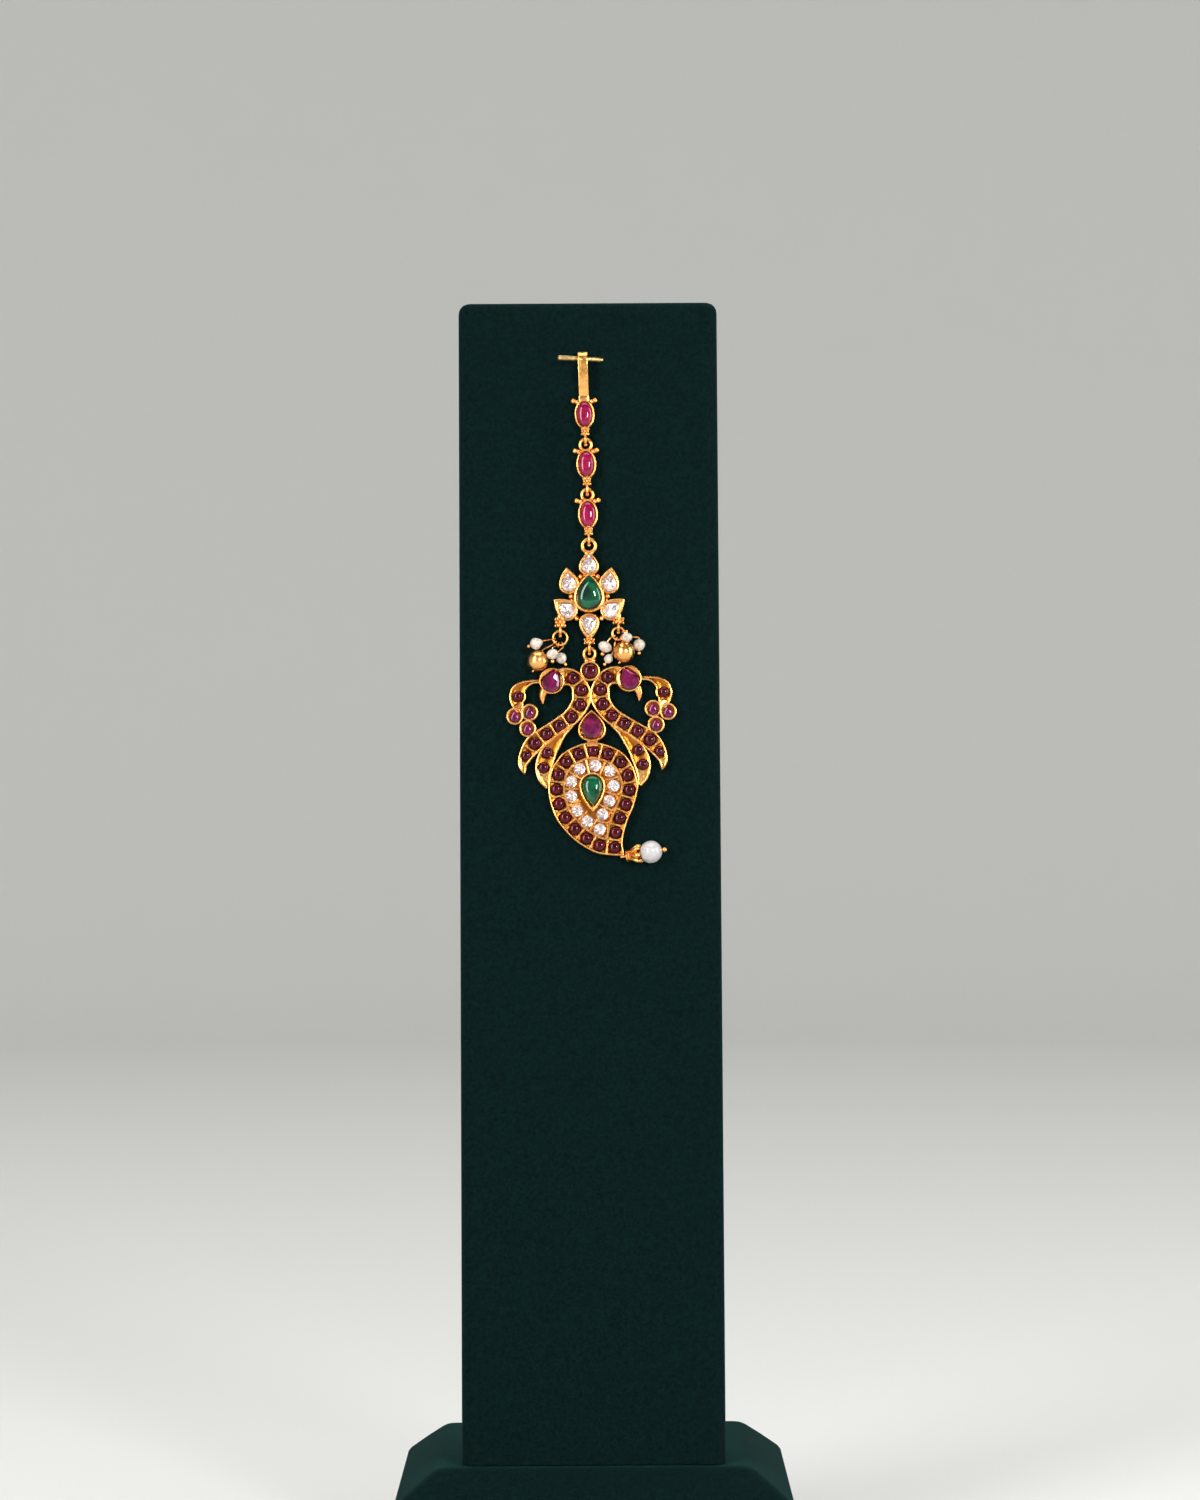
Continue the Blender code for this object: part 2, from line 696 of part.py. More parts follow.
def link_body(next_ring_wire):
    """A ruby's oval bezel with its granules, and the coil and loop that carry the next piece."""
    bezel = prism(ruby_outline(STONE_FIT + BEZEL_WALL), JEWEL_BACK, BEZEL_FRONT)
    below = -RUBY_HEIGHT / 2 - STONE_FIT - BEZEL_WALL / 2
    solids = [bezel, *loop_and_coil(0, below, -LOOP_BELOW_RUBY, next_ring_wire, COIL_RADIUS)]
    for side in (-1, 1):
        solids.append(granule(side * GRANULE_OUT, GRANULE_UP, LOOP_DEPTH))
        solids.append(granule(side * (GRANULE_OUT - GRANULE_RADIUS), GRANULE_UP - GRANULE_RADIUS, LOOP_DEPTH))
    return solids


def hook_strap():
    """A flat strap up from the bezel, over the pin and down behind it, where it narrows."""
    reach = HOOK_INNER_RADIUS + HOOK_THICKNESS / 2
    arch_depth = JEWEL_BACK + HOOK_THICKNESS + HOOK_INNER_RADIUS
    foot = Vector((LOOP_DEPTH, RUBY_HEIGHT / 2 + STONE_FIT + BEZEL_WALL / 2, HOOK_WIDTH))
    front = Vector((arch_depth + reach, HOOK_RISE, HOOK_WIDTH))
    leg = [foot + Vector((out * (front.x - foot.x), up * (front.y - foot.y), 0)) for out, up in HOOK_LEG]
    path = smooth_curve([*leg, front], 2)
    for step in range(1, 8):
        angle = pi * step / 8
        path.append(Vector((arch_depth + reach * cos(angle), HOOK_RISE + reach * sin(angle), HOOK_WIDTH)))
    path.append(Vector((arch_depth - reach, HOOK_RISE, (HOOK_WIDTH + HOOK_TAIL_WIDTH) / 2)))
    path.append(Vector((arch_depth - reach, HOOK_RISE - HOOK_TAIL, HOOK_TAIL_WIDTH)))
    loops = []
    for before, point, after in zip([path[0], *path], path, [*path[1:], path[-1]]):
        normal = HOOK_THICKNESS / 2 * right_of((after - before).to_2d().normalized())
        edges = [(-1, -1), (1, -1), (1, 1), (-1, 1)]
        loops.append([(x * point.z / 2, -point.x - s * normal.x, point.y + s * normal.y) for x, s in edges])
    return skin("strap", loops)


def make_chain(face, gold, ruby):
    """Three links hung one below another on a leaning line that ends at the flower's ring."""
    upwards = Vector((-sin(CHAIN_LEAN), 0, cos(CHAIN_LEAN)))
    hung_on = Vector((0, 0, FLOWER_HEIGHT + FLOWER_RING_UP + FLOWER_RING_RADIUS))
    ring_top = RING_ABOVE_RUBY + LINK_RING_RADIUS
    for number in (3, 2, 1):
        place = hung_on + LOOP_BELOW_RUBY * upwards
        next_ring_wire = FLOWER_RING_WIRE if number == 3 else LINK_WIRE
        top = hook_strap() if number == 1 else front_ring(0, RING_ABOVE_RUBY, LINK_RING_RADIUS, LINK_WIRE)
        name = "hook_link" if number == 1 else f"chain_link_{number}"
        pocket = prism(ruby_outline(STONE_FIT), BEZEL_SEAT, BEZEL_FRONT + BEZEL_WALL)
        link = soldered(name, [*link_body(next_ring_wire), top], [pocket])
        seat, girdle = BEZEL_SEAT + STONE_FIT, BEZEL_FRONT - STONE_FIT
        gem = stone(f"ruby_{number}", ruby_outline(0), seat, girdle, RUBY_DOME)
        for item, material in ((link, gold), (gem, ruby)):
            finish(item, material, face, place).rotation_euler.y = -CHAIN_LEAN
        hung_on = place + ring_top * upwards
    return place.x - HOOK_RISE * sin(CHAIN_LEAN), place.z + HOOK_RISE * cos(CHAIN_LEAN)


# Flower

def petal_places():
    """Each petal's white stone: its centre, its turn and how far the metal runs past its tip."""
    for petal in PETALS:
        centre = Vector((petal.x * FLOWER_WIDTH, petal.z * FLOWER_LENGTH))
        yield centre, radians(petal.turn), petal.point * PETAL_POINT


def petal_outline(centre, turn, grow, point=0.0):
    tip = Vector((-sin(turn), cos(turn)))
    width, length = PETAL_STONE_WIDTH + 2 * grow, PETAL_STONE_LENGTH + 2 * grow + point
    return pear(width, length, PEAR_SIDES, turn, centre + point / 2 * tip)


def green_outline(grow):
    return pear(GREEN_WIDTH + 2 * grow, GREEN_LENGTH + 2 * grow, PEAR_SIDES)


def make_flower(face, gold, green, white):
    place = (0, 0, FLOWER_HEIGHT)
    wall = STONE_FIT + BEZEL_WALL
    solids = [prism(green_outline(STONE_FIT + GREEN_WALL), JEWEL_BACK, GREEN_FRONT)]
    solids.append(prism(oval(FLOWER_PLATE, FLOWER_PLATE, PEAR_SIDES), JEWEL_BACK, PETAL_SEAT))
    pockets = [prism(green_outline(STONE_FIT), GREEN_SEAT, GREEN_FRONT + GREEN_WALL)]
    for centre, turn, point in petal_places():
        solids.append(prism(petal_outline(centre, turn, wall, point), JEWEL_BACK, PETAL_FRONT))
        pockets.append(prism(petal_outline(centre, turn, STONE_FIT), PETAL_SEAT, PETAL_FRONT + BEZEL_WALL))
    for spot in FLOWER_GRANULES:
        for side in (-1, 1):
            x, z = side * spot.out * FLOWER_WIDTH, -spot.down * FLOWER_LENGTH
            solids.append(granule(x, z, LOOP_DEPTH, FLOWER_GRANULE))
    solids.append(front_ring(0, FLOWER_RING_UP, FLOWER_RING_RADIUS, FLOWER_RING_WIRE))
    for cluster in (LEFT_CLUSTER, RIGHT_CLUSTER):
        x = cluster.side * DROP_LOOP_OUT
        solids += loop_and_coil(x, -DROP_COIL_TOP, -cluster.loop_down, JUMP_RING_WIRE, DROP_COIL_RADIUS)
    solids += loop_and_coil(0, -MAIN_COIL_TOP, -MAIN_LOOP_DOWN, LINK_WIRE, MAIN_COIL_RADIUS)
    finish(soldered("flower_setting", solids, pockets), gold, face, place)
    gem = stone("flower_green", green_outline(0), GREEN_SEAT + STONE_FIT, GREEN_FRONT - STONE_FIT, GREEN_DOME)
    finish(gem, green, face, place)
    for number, (centre, turn, _) in enumerate(petal_places(), 1):
        outline = petal_outline(centre, turn, 0)
        seat, girdle = PETAL_SEAT + STONE_FIT, PETAL_FRONT - STONE_FIT
        gem = stone(f"flower_white_{number}", outline, seat, girdle, WHITE_CROWN, 0.55, False)
        finish(gem, white, face, place)


# Clusters of drops

def make_drops(face, cluster, drops, first_number, gold, pearl):
    """A jump ring on the flower's loop, and the beads that hang from it on their headpins."""
    centre = Vector((cluster.side * DROP_LOOP_OUT, 0, FLOWER_HEIGHT - cluster.loop_down - cluster.radius))
    ring = front_ring(0, 0, cluster.radius, JUMP_RING_WIRE)
    ring.name = cluster.name
    finish(ring, gold, face, centre)
    for number, drop in enumerate(drops, first_number):
        material = gold if drop.name.startswith("gold_ball") else pearl
        middle = MM * Vector((drop.x, -drop.depth, drop.z))
        finish(make_headpin(number, drop, middle, cluster.radius), gold, face, centre)
        item = bead(drop.name, drop.across * MM, drop.along * MM, HEADPIN_WIRE + HEADPIN_PLAY)
        finish(item, material, face, centre + middle).rotation_euler.y = -radians(drop.hang)


def make_headpin(number, drop, middle, ring_radius):
    """A loop round the jump ring's wire, a shank down through the bead and a ball at its end."""
    hang, at = radians(drop.hang), radians(drop.at)
    along, head = drop.along * MM, drop.head * MM
    axis = Vector((sin(hang), 0, -cos(hang)))
    outwards = Vector((cos(at), 0, sin(at)))
    forwards = Vector((0, -1, 0))
    centre = ring_radius * outwards + Vector((0, -LOOP_DEPTH, 0))
    radius = JUMP_RING_WIRE + HEADPIN_PLAY + HEADPIN_WIRE
    loop = wire_ring(centre, outwards, forwards, radius, HEADPIN_WIRE, BEAD_SIDES, HEADPIN_SIDES)
    above = middle - (along + 2 * HEADPIN_WIRE) * axis
    towards = above - centre
    towards = (towards.dot(outwards) * outwards + towards.dot(forwards) * forwards).normalized()
    end = middle + (along + head) * axis
    shank = tube([centre + radius * towards, above, end], HEADPIN_WIRE, HEADPIN_SIDES)
    return soldered(f"headpin_{number}", [loop, shank, granule(end.x, end.z, -end.y, head)])


# Main drop

def bird_path(stations, width):
    """A smooth path of (x, z, half width) through the stations of the right-hand peacock."""
    points = [Vector((s.out * BIRD_SPAN, -s.down * BIRD_DROP, s.half * width)) for s in stations]
    return smooth_curve(points, 6)


def bird_spot(spot):
    return Vector((spot.out * BIRD_SPAN, -spot.down * BIRD_DROP))


def head_stone_outline(grow):
    width, length = HEAD_STONE_WIDTH + 2 * grow, HEAD_STONE_LENGTH + 2 * grow
    return pear(width, length, PEAR_SIDES, HEAD_STONE_TURN, bird_spot(HEAD))


def bird_plates():
    """Outlines of the right-hand peacock's parts, each with the depth of its front."""
    yield ribbon(bird_path(BAND, BAND_WIDTH), sections=14), BAND_FRONT
    yield ribbon(bird_path(FEATHER, FEATHER_WIDTH), sections=8), FEATHER_FRONT
    yield ribbon(bird_path(CREST, CREST_WIDTH), sections=9), CREST_FRONT
    yield ribbon(bird_path(BEAK, BEAK_WIDTH), sections=4), BEAK_FRONT
    yield oval(HEAD_WIDTH, HEAD_HEIGHT, PEAR_SIDES, bird_spot(HEAD)), HEAD_FRONT
    for spot in PLUMES:
        yield disc(PLUME_RADIUS, PLUME_SIDES, bird_spot(spot)), PLUME_FRONT


def bird_pockets():
    """Outlines of the channels and stone pockets, each with its floor and the front that it opens at."""
    band, feather = bird_path(BAND, BAND_WIDTH), bird_path(FEATHER, FEATHER_WIDTH)
    band_end = distances_along(band)[-1] - BAND_SOLID_TIP
    yield ribbon(band, RIM, NECK_START, band_end, 13), CELL_FLOOR, BAND_FRONT
    yield ribbon(feather, RIM, FEATHER_START, FEATHER_END, 5), CELL_FLOOR, FEATHER_FRONT
    yield head_stone_outline(STONE_FIT), HEAD_SEAT, HEAD_FRONT
    pocket = disc(SMALL_GARNET_RADIUS + STONE_FIT, CUT_SIDES, bird_spot(CREST_GARNET))
    yield pocket, CELL_FLOOR, CREST_FRONT
    for spot in PLUMES:
        yield disc(PLUME_RADIUS - BEZEL_WALL, PLUME_SIDES, bird_spot(spot)), CELL_FLOOR, PLUME_FRONT


def bird_fittings():
    """Outlines of the partition bars and of the small stones in their cells."""
    band = bird_path(BAND, BAND_WIDTH)
    for index in range(BAND_GARNETS):
        middle, _ = point_along(band, FIRST_GARNET + index * GARNET_PITCH)
        radius = GARNET_RADIUS if index < BAND_GARNETS - 1 else SMALL_GARNET_RADIUS
        yield "stone", disc(radius, CUT_SIDES, middle.to_2d())
        if index:
            middle, direction = point_along(band, FIRST_GARNET + (index - 0.5) * GARNET_PITCH)
            yield "bar", bar_across(middle.to_2d(), direction, 2 * middle.z - RIM)
    for spot in [*FEATHER_GARNETS, CREST_GARNET]:
        yield "stone", disc(SMALL_GARNET_RADIUS, CUT_SIDES, bird_spot(spot))
    feather = bird_path(FEATHER, FEATHER_WIDTH)
    middle, direction = point_along(feather, (FEATHER_START + FEATHER_END) / 2)
    yield "low bar", bar_across(middle.to_2d(), direction, 2 * middle.z - RIM)
    for spot in PLUMES:
        yield "stone", pear(PLUME_STONE_WIDTH, PLUME_STONE_LENGTH, CUT_SIDES, 0, bird_spot(spot))


def both_sides(outline):
    return [outline, mirrored(outline)]


def mango_loop():
    points = [Vector((edge.x * MANGO_WIDTH, -MANGO_TOP_DROP - edge.down * MANGO_HEIGHT)) for edge in MANGO]
    return smooth_curve(points, 6)


def mango_channel(outer_inset, inner_inset):
    """A cutter for the ring of cells between two insets of the mango's edge."""
    loop = mango_loop()
    outer = even_outline(inset_loop(loop, outer_inset), MANGO_SIDES)
    inner = even_outline(inset_loop(loop, inner_inset), MANGO_SIDES)
    floor, top = CELL_FLOOR, MANGO_FRONT + RIM
    rows = [at_depth(outer, floor), at_depth(outer, top), at_depth(inner, top), at_depth(inner, floor)]
    return skin("channel", rows, ring=True)


def mango_cells(inset, count, radius, bar_inner, bar_outer):
    """Stones at even distances round the mango, the first in its tip, with a bar between each two."""
    path = inset_loop(mango_loop(), inset)
    pitch = distances_along(path)[-1] / count
    for index in range(count):
        middle, _ = point_along(path, index * pitch)
        yield "stone", disc(radius, CUT_SIDES, middle)
        middle, direction = point_along(path, (index + 0.5) * pitch)
        between = middle + ((bar_inner + bar_outer) / 2 - inset) * right_of(direction)
        yield "high bar", bar_across(between, direction, bar_inner - bar_outer)


def fitting(kind, outline):
    if kind == "stone":
        return stone("stone", outline, CELL_FLOOR - BAR, CELL_FLOOR + GIRDLE_RISE, SMALL_DOME, 0.55, False)
    front = {"low bar": FEATHER_FRONT, "bar": BAND_FRONT, "high bar": MANGO_FRONT}[kind] - BAR / 2
    return prism(outline, CELL_FLOOR - BAR, front)


def centre_outline(grow):
    return pear(CENTRE_WIDTH + 2 * grow, CENTRE_LENGTH + 2 * grow, PEAR_SIDES, 0, (0, -CENTRE_DROP))


def mango_green_outline(grow):
    centre = (MANGO_GREEN_PLACE.x * MANGO_WIDTH, -MANGO_TOP_DROP - MANGO_GREEN_PLACE.down * MANGO_HEIGHT)
    return pear(MANGO_GREEN_WIDTH + 2 * grow, MANGO_GREEN_LENGTH + 2 * grow, PEAR_SIDES, pi, centre)


def cup(outer, inner, back, front, seat):
    rows = [at_depth(outer, back), at_depth(outer, front), at_depth(inner, front), at_depth(inner, seat)]
    return skin("cup", rows)


def tip_line():
    """The mango's tip, and the direction of the wire that carries the pearl there."""
    tip = Vector((MANGO[0].x * MANGO_WIDTH, -TIP_DEPTH, -MANGO_TOP_DROP - MANGO_HEIGHT))
    return tip, Vector((cos(TIP_TURN) * cos(TIP_OUT), -sin(TIP_OUT), sin(TIP_TURN) * cos(TIP_OUT)))


def strut(width, low, high, front):
    """A short upright piece of solder on the pendant's middle line."""
    corners = [(-width / 2, low), (-width / 2, high), (width / 2, high), (width / 2, low)]
    return prism([Vector(corner) for corner in corners], JEWEL_BACK, front)


def top_and_centre():
    """The bezels of the top garnet and the centre ruby, and the solder that joins them to the rest."""
    above_garnet = PENDANT_RING_UP - 0.8 * PENDANT_RING_RADIUS
    below_ruby = -CENTRE_DROP - CENTRE_LENGTH / 2 - STONE_FIT
    return [
        prism(disc(TOP_BEZEL_RADIUS, PEAR_SIDES), JEWEL_BACK, TOP_BEZEL_FRONT),
        prism(centre_outline(STONE_FIT + CENTRE_WALL), JEWEL_BACK, CENTRE_FRONT),
        strut(1.5 * TOP_GARNET_RADIUS, 0.9 * TOP_BEZEL_RADIUS, above_garnet, BAND_FRONT),
        strut(CENTRE_WIDTH / 2, -MANGO_TOP_DROP - RIM, below_ruby, BAND_FRONT),
        front_ring(0, PENDANT_RING_UP, PENDANT_RING_RADIUS, LINK_WIRE),
    ]


def tip_wire():
    """The wire that runs out of the mango's tip, and the ball at its end."""
    tip, outwards = tip_line()
    end = tip + (TIP_PEARL_PLACE + TIP_PEARL_RADIUS + TIP_BALL) * outwards
    wire = cone_between(tip - 2 * RIM * outwards, end, [TIP_WIRE, TIP_WIRE], WIRE_SIDES)
    return [wire, granule(end.x, end.z, -end.y, TIP_BALL)]


def pendant_pockets():
    """Cutters for the channels of cells and for the main stones' seats."""
    inside = even_outline(inset_loop(mango_loop(), RING_OF_GARNETS + BAR / 2), MANGO_SIDES)
    garnet_hole = disc(TOP_GARNET_RADIUS + STONE_FIT, PEAR_SIDES)
    pockets = [
        mango_channel(RIM, RING_OF_GARNETS - BAR / 2),
        prism(inside, CELL_FLOOR, MANGO_FRONT + RIM),
        prism(garnet_hole, TOP_GARNET_SEAT, TOP_BEZEL_FRONT + RIM),
        prism(centre_outline(STONE_FIT), CENTRE_SEAT, CENTRE_FRONT + RIM),
    ]
    for outline, seat, front in bird_pockets():
        pockets += [prism(half, seat, front + RIM) for half in both_sides(outline)]
    return pockets


def pendant_fittings():
    """The small stones with the bars between them, and the green stone's cup in the mango."""
    cells = [(kind, half) for kind, outline in bird_fittings() for half in both_sides(outline)]
    garnet_inset = (RIM + RING_OF_GARNETS - BAR / 2) / 2
    cells += mango_cells(garnet_inset, MANGO_GARNETS, GARNET_RADIUS, RING_OF_GARNETS, RIM / 2)
    white_inset = RING_OF_GARNETS + BAR + WHITE_RADIUS
    white_bar_end = RING_OF_GARNETS + 2.4 * WHITE_RADIUS
    cells += mango_cells(white_inset, MANGO_WHITES, WHITE_RADIUS, white_bar_end, RING_OF_GARNETS)
    outer, inner = mango_green_outline(STONE_FIT + MANGO_GREEN_WALL), mango_green_outline(STONE_FIT)
    green_cup = cup(outer, inner, CELL_FLOOR - BAR, MANGO_GREEN_FRONT, MANGO_GREEN_SEAT)
    return [green_cup, *(fitting(kind, outline) for kind, outline in cells)]


def make_pendant_frame():
    solids = [prism(even_outline(mango_loop(), MANGO_SIDES), JEWEL_BACK, MANGO_FRONT)]
    for outline, front in bird_plates():
        solids += [prism(half, JEWEL_BACK, front) for half in both_sides(outline)]
    solids += [*top_and_centre(), *tip_wire()]
    return soldered("pendant_frame", solids, pendant_pockets(), pendant_fittings())


def make_tip_cap():
    """A turned cap: a collar at the mango's tip, a waist, and a flare that clasps the pearl."""
    hole = TIP_WIRE + TIP_WIRE_PLAY
    rows = [
        (hole, 0),
        (TIP_COLLAR_RADIUS, 0),
        (TIP_COLLAR_RADIUS, TIP_COLLAR_LENGTH),
        (0.75 * TIP_COLLAR_RADIUS, 1.3 * TIP_COLLAR_LENGTH),
        (0.8 * TIP_CAP_RADIUS, 0.75 * TIP_CAP_LENGTH),
        (TIP_CAP_RADIUS, TIP_CAP_LENGTH),
        (TIP_CAP_RADIUS - TIP_WIRE_PLAY, TIP_CAP_LENGTH),
        (hole, 0.82 * TIP_CAP_LENGTH),
    ]
    angles = [2 * pi * i / RING_SIDES for i in range(RING_SIDES)]
    loops = [[(radius * cos(a), radius * sin(a), height) for a in angles] for radius, height in rows]
    return skin("tip_cap", loops, ring=True)


def main_stones(ruby, garnet, green):
    """The stones that have a seat of their own, each with its material."""
    top = disc(TOP_GARNET_RADIUS, PEAR_SIDES)
    right_head, left_head = both_sides(head_stone_outline(0))
    rows = [
        ("top_garnet", top, TOP_GARNET_SEAT, TOP_BEZEL_FRONT, SMALL_DOME, 0.5, garnet),
        ("centre_ruby", centre_outline(0), CENTRE_SEAT, CENTRE_FRONT, SMALL_DOME, 0.7, ruby),
        ("mango_green", mango_green_outline(0), MANGO_GREEN_SEAT, MANGO_GREEN_FRONT, RUBY_DOME, 0.5, green),
        ("head_stone_right", right_head, HEAD_SEAT, HEAD_FRONT, WHITE_CROWN, 0.7, ruby),
        ("head_stone_left", left_head, HEAD_SEAT, HEAD_FRONT, WHITE_CROWN, 0.7, ruby),
    ]
    for name, outline, seat, front, height, table, material in rows:
        yield stone(name, outline, seat + STONE_FIT, front - STONE_FIT, height, table), material


def make_pendant(face, gold, ruby, garnet, green, pearl):
    """Everything is placed from the axis it swings on, the middle of the flower's lowest loop."""
    hinge = make_empty("pendant_swing", face, (0, -LOOP_DEPTH, FLOWER_HEIGHT - MAIN_LOOP_DOWN))
    hinge.rotation_euler.y = -PENDANT_TILT
    place = Vector((0, LOOP_DEPTH, -PENDANT_RING_UP - PENDANT_RING_RADIUS))
    finish(make_pendant_frame(), gold, hinge, place)
    for gem, material in main_stones(ruby, garnet, green):
        finish(gem, material, hinge, place)
    tip, outwards = tip_line()
    turn = Vector((0, 0, 1)).rotation_difference(outwards).to_euler()
    finish(make_tip_cap(), gold, hinge, place + tip + TIP_CAP_START * outwards).rotation_euler = turn
    hole = TIP_WIRE + TIP_WIRE_PLAY
    big_pearl = bead("tip_pearl", TIP_PEARL_RADIUS, TIP_PEARL_RADIUS, hole, TIP_PEARL_SIDES, TIP_PEARL_ROWS)
    finish(big_pearl, pearl, hinge, place + tip + TIP_PEARL_PLACE * outwards).rotation_euler = turn


# Assembly

velvet = make_material("dark teal velvet", (0.006, 0.04, 0.037), 0.95, 0)
brass = make_material("dull brass", (0.55, 0.38, 0.16), 0.35, 1)
gold = make_material("yellow gold", (0.9, 0.58, 0.18), 0.28, 1)
ruby = make_material("pink ruby", (0.55, 0.01, 0.12), 0.1, 0)
garnet = make_material("dark garnet", (0.12, 0.004, 0.01), 0.1, 0)
green = make_material("green stone", (0.005, 0.16, 0.06), 0.08, 0)
white = make_material("white stone", (0.85, 0.8, 0.84), 0.05, 0)
pearl = make_material("pearl", (0.85, 0.82, 0.78), 0.3, 0)

foot_y = -BASE_TOP_WIDTH / 2 + PILLAR_SETBACK
face = make_empty("display_face", None, (0, foot_y, BASE_HEIGHT + TOUCH_GAP), (-PILLAR_LEAN, 0, 0))
hook_x, arch_height = make_chain(face, gold, ruby)
entry, outwards = stand_pin_line(hook_x, arch_height)
make_base(velvet)
make_pillar(velvet, face, entry, outwards)
make_stand_pin(brass, face, entry, outwards)
make_flower(face, gold, green, white)
make_drops(face, LEFT_CLUSTER, LEFT_DROPS, 1, gold, pearl)
make_drops(face, RIGHT_CLUSTER, RIGHT_DROPS, len(LEFT_DROPS) + 1, gold, pearl)
make_pendant(face, gold, ruby, garnet, green, pearl)
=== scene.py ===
"""The looks of a maang tikka on its velvet stand: fine surfaces, materials, light and camera.

Lengths are in millimetres on the board's leaning face: x to the right, z up along the face and depth
out from the velvet. Each piece is moved from there to its place when it is finished.
"""
from collections import namedtuple
from math import acos, cos, hypot, pi, radians, sin, tan
import json

import bmesh
import bpy
from mathutils import Matrix, Vector, noise
from mathutils.geometry import intersect_line_line_2d


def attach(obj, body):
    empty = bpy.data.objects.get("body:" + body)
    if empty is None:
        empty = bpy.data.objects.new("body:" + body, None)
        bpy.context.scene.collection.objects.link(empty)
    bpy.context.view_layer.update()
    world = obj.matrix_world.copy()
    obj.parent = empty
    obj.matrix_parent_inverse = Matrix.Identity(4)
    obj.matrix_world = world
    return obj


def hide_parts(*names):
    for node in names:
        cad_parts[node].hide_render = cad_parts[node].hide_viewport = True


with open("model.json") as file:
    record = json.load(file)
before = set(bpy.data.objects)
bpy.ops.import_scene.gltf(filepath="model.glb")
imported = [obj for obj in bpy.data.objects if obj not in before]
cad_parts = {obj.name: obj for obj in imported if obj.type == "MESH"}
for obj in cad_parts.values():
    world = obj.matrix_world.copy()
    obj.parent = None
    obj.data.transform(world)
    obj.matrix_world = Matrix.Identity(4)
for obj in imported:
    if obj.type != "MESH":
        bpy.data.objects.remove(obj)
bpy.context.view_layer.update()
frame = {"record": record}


# Velvet stand
# A board wrapped in short dark teal velvet leans back on a square foot covered in the same velvet.
# The cloth is pulled round the edges, which stay soft and catch the light.

MM = 0.001
LEAN = radians(5)
SWING_HEIGHT = 169.37           # of the pendant's axis, up the face from the board's foot
SWING_DEPTH = 1.55
BOARD_WIDTH, BOARD_LENGTH, BOARD_DEPTH = 54.6, 243.2, 20.0
BOARD_EDGE, BOARD_ROWS = 2.4, 24
FOOT_WIDTH, FOOT_TOP_WIDTH = 83.0, 64.0
FOOT_HEIGHT, FOOT_SHOULDER = 22.0, 7.0
FOOT_EDGE = 2.2
VELVET_DARK = (0.0006, 0.0048, 0.0046)
VELVET_LIGHT = (0.0013, 0.0092, 0.0088)
VELVET_SHEEN = (0.03, 0.18, 0.16)

SWING = Vector(frame["record"]["behaviour"]["joints"][0]["pos_m"])
ON_FACE = Matrix.Translation(SWING) @ Matrix.Rotation(-LEAN, 4, "X") @ Matrix.Scale(MM, 4)
ON_FACE = ON_FACE @ Matrix.Translation((0, SWING_DEPTH, -SWING_HEIGHT))
ON_TABLE = Matrix.Scale(MM, 4)


def add_band(mesh, near, far):
    """Faces between two closed loops of as many points."""
    for corners in zip(near, near[1:] + near[:1], far[1:] + far[:1], far):
        mesh.faces.new(corners)


def add_skin(mesh, rows, ring=False):
    """Faces through rows of as many points, capped at both ends or closed round into a ring."""
    made = [[mesh.verts.new(point) for point in row] for row in rows]
    if not ring:
        mesh.faces.new(made[0])
        mesh.faces.new(made[-1])
    for near, far in zip(made, made[1:] + made[:ring]):
        add_band(mesh, near, far)


def add_to_scene(name, data):
    item = bpy.data.objects.new(name, data)
    bpy.context.scene.collection.objects.link(item)
    return item


def make_object(name, mesh, *materials):
    """An object of the collected faces."""
    bmesh.ops.recalc_face_normals(mesh, faces=mesh.faces)
    data = bpy.data.meshes.new(name)
    mesh.to_mesh(data)
    mesh.free()
    for material in materials:
        data.materials.append(material)
    return add_to_scene(name, data)


def piece(name, mesh, place, material, body, slot, nodes=(), crease=40, deep=()):
    """An object moved to its place, which rides on a body. Edges sharper than the crease stay sharp.

    A second material may be given for the floors of the cells: a darker gold that paints their shade.
    Without a crease each face is flat.
    """
    # Faces low in the cells get the second material: painted shade for these recesses.
    if deep:
        for face in mesh.faces:
            depths = [-vert.co.y for vert in face.verts]
            face.material_index = int(min(depths) > BACK + 0.1 and max(depths) < PAINTED_SHADE_DEPTH)
    bmesh.ops.transform(mesh, matrix=place, verts=mesh.verts)
    item = make_object(name, mesh, material, *deep)
    if crease:
        item.data.shade_smooth()
        item.data.set_sharp_from_angle(angle=radians(crease))
    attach(item, body)
    if nodes:
        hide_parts(*nodes)


def make_material(name, colour, roughness, metallic=0.0, more=()):
    """A material and its shader, with more of the shader's settings by their titles."""
    material = bpy.data.materials.new(name)
    material.use_nodes = True
    shader = material.node_tree.nodes["Principled BSDF"]
    settings = {"Base Color": (*colour, 1), "Roughness": roughness, "Metallic": metallic, **dict(more)}
    for title, value in settings.items():
        shader.inputs[title].default_value = value
    return material, shader


def add_noise(shader, size, detail, distortion=0.0):
    """A cloudy pattern whose blots are about the size given in millimetres."""
    nodes, links = shader.id_data.nodes, shader.id_data.links
    coordinates = nodes.new("ShaderNodeTexCoord")
    pattern = nodes.new("ShaderNodeTexNoise")
    pattern.inputs["Scale"].default_value = 1 / (size * MM)
    pattern.inputs["Detail"].default_value = detail
    pattern.inputs["Distortion"].default_value = distortion
    links.new(coordinates.outputs["Object"], pattern.inputs["Vector"])
    return pattern.outputs["Fac"]


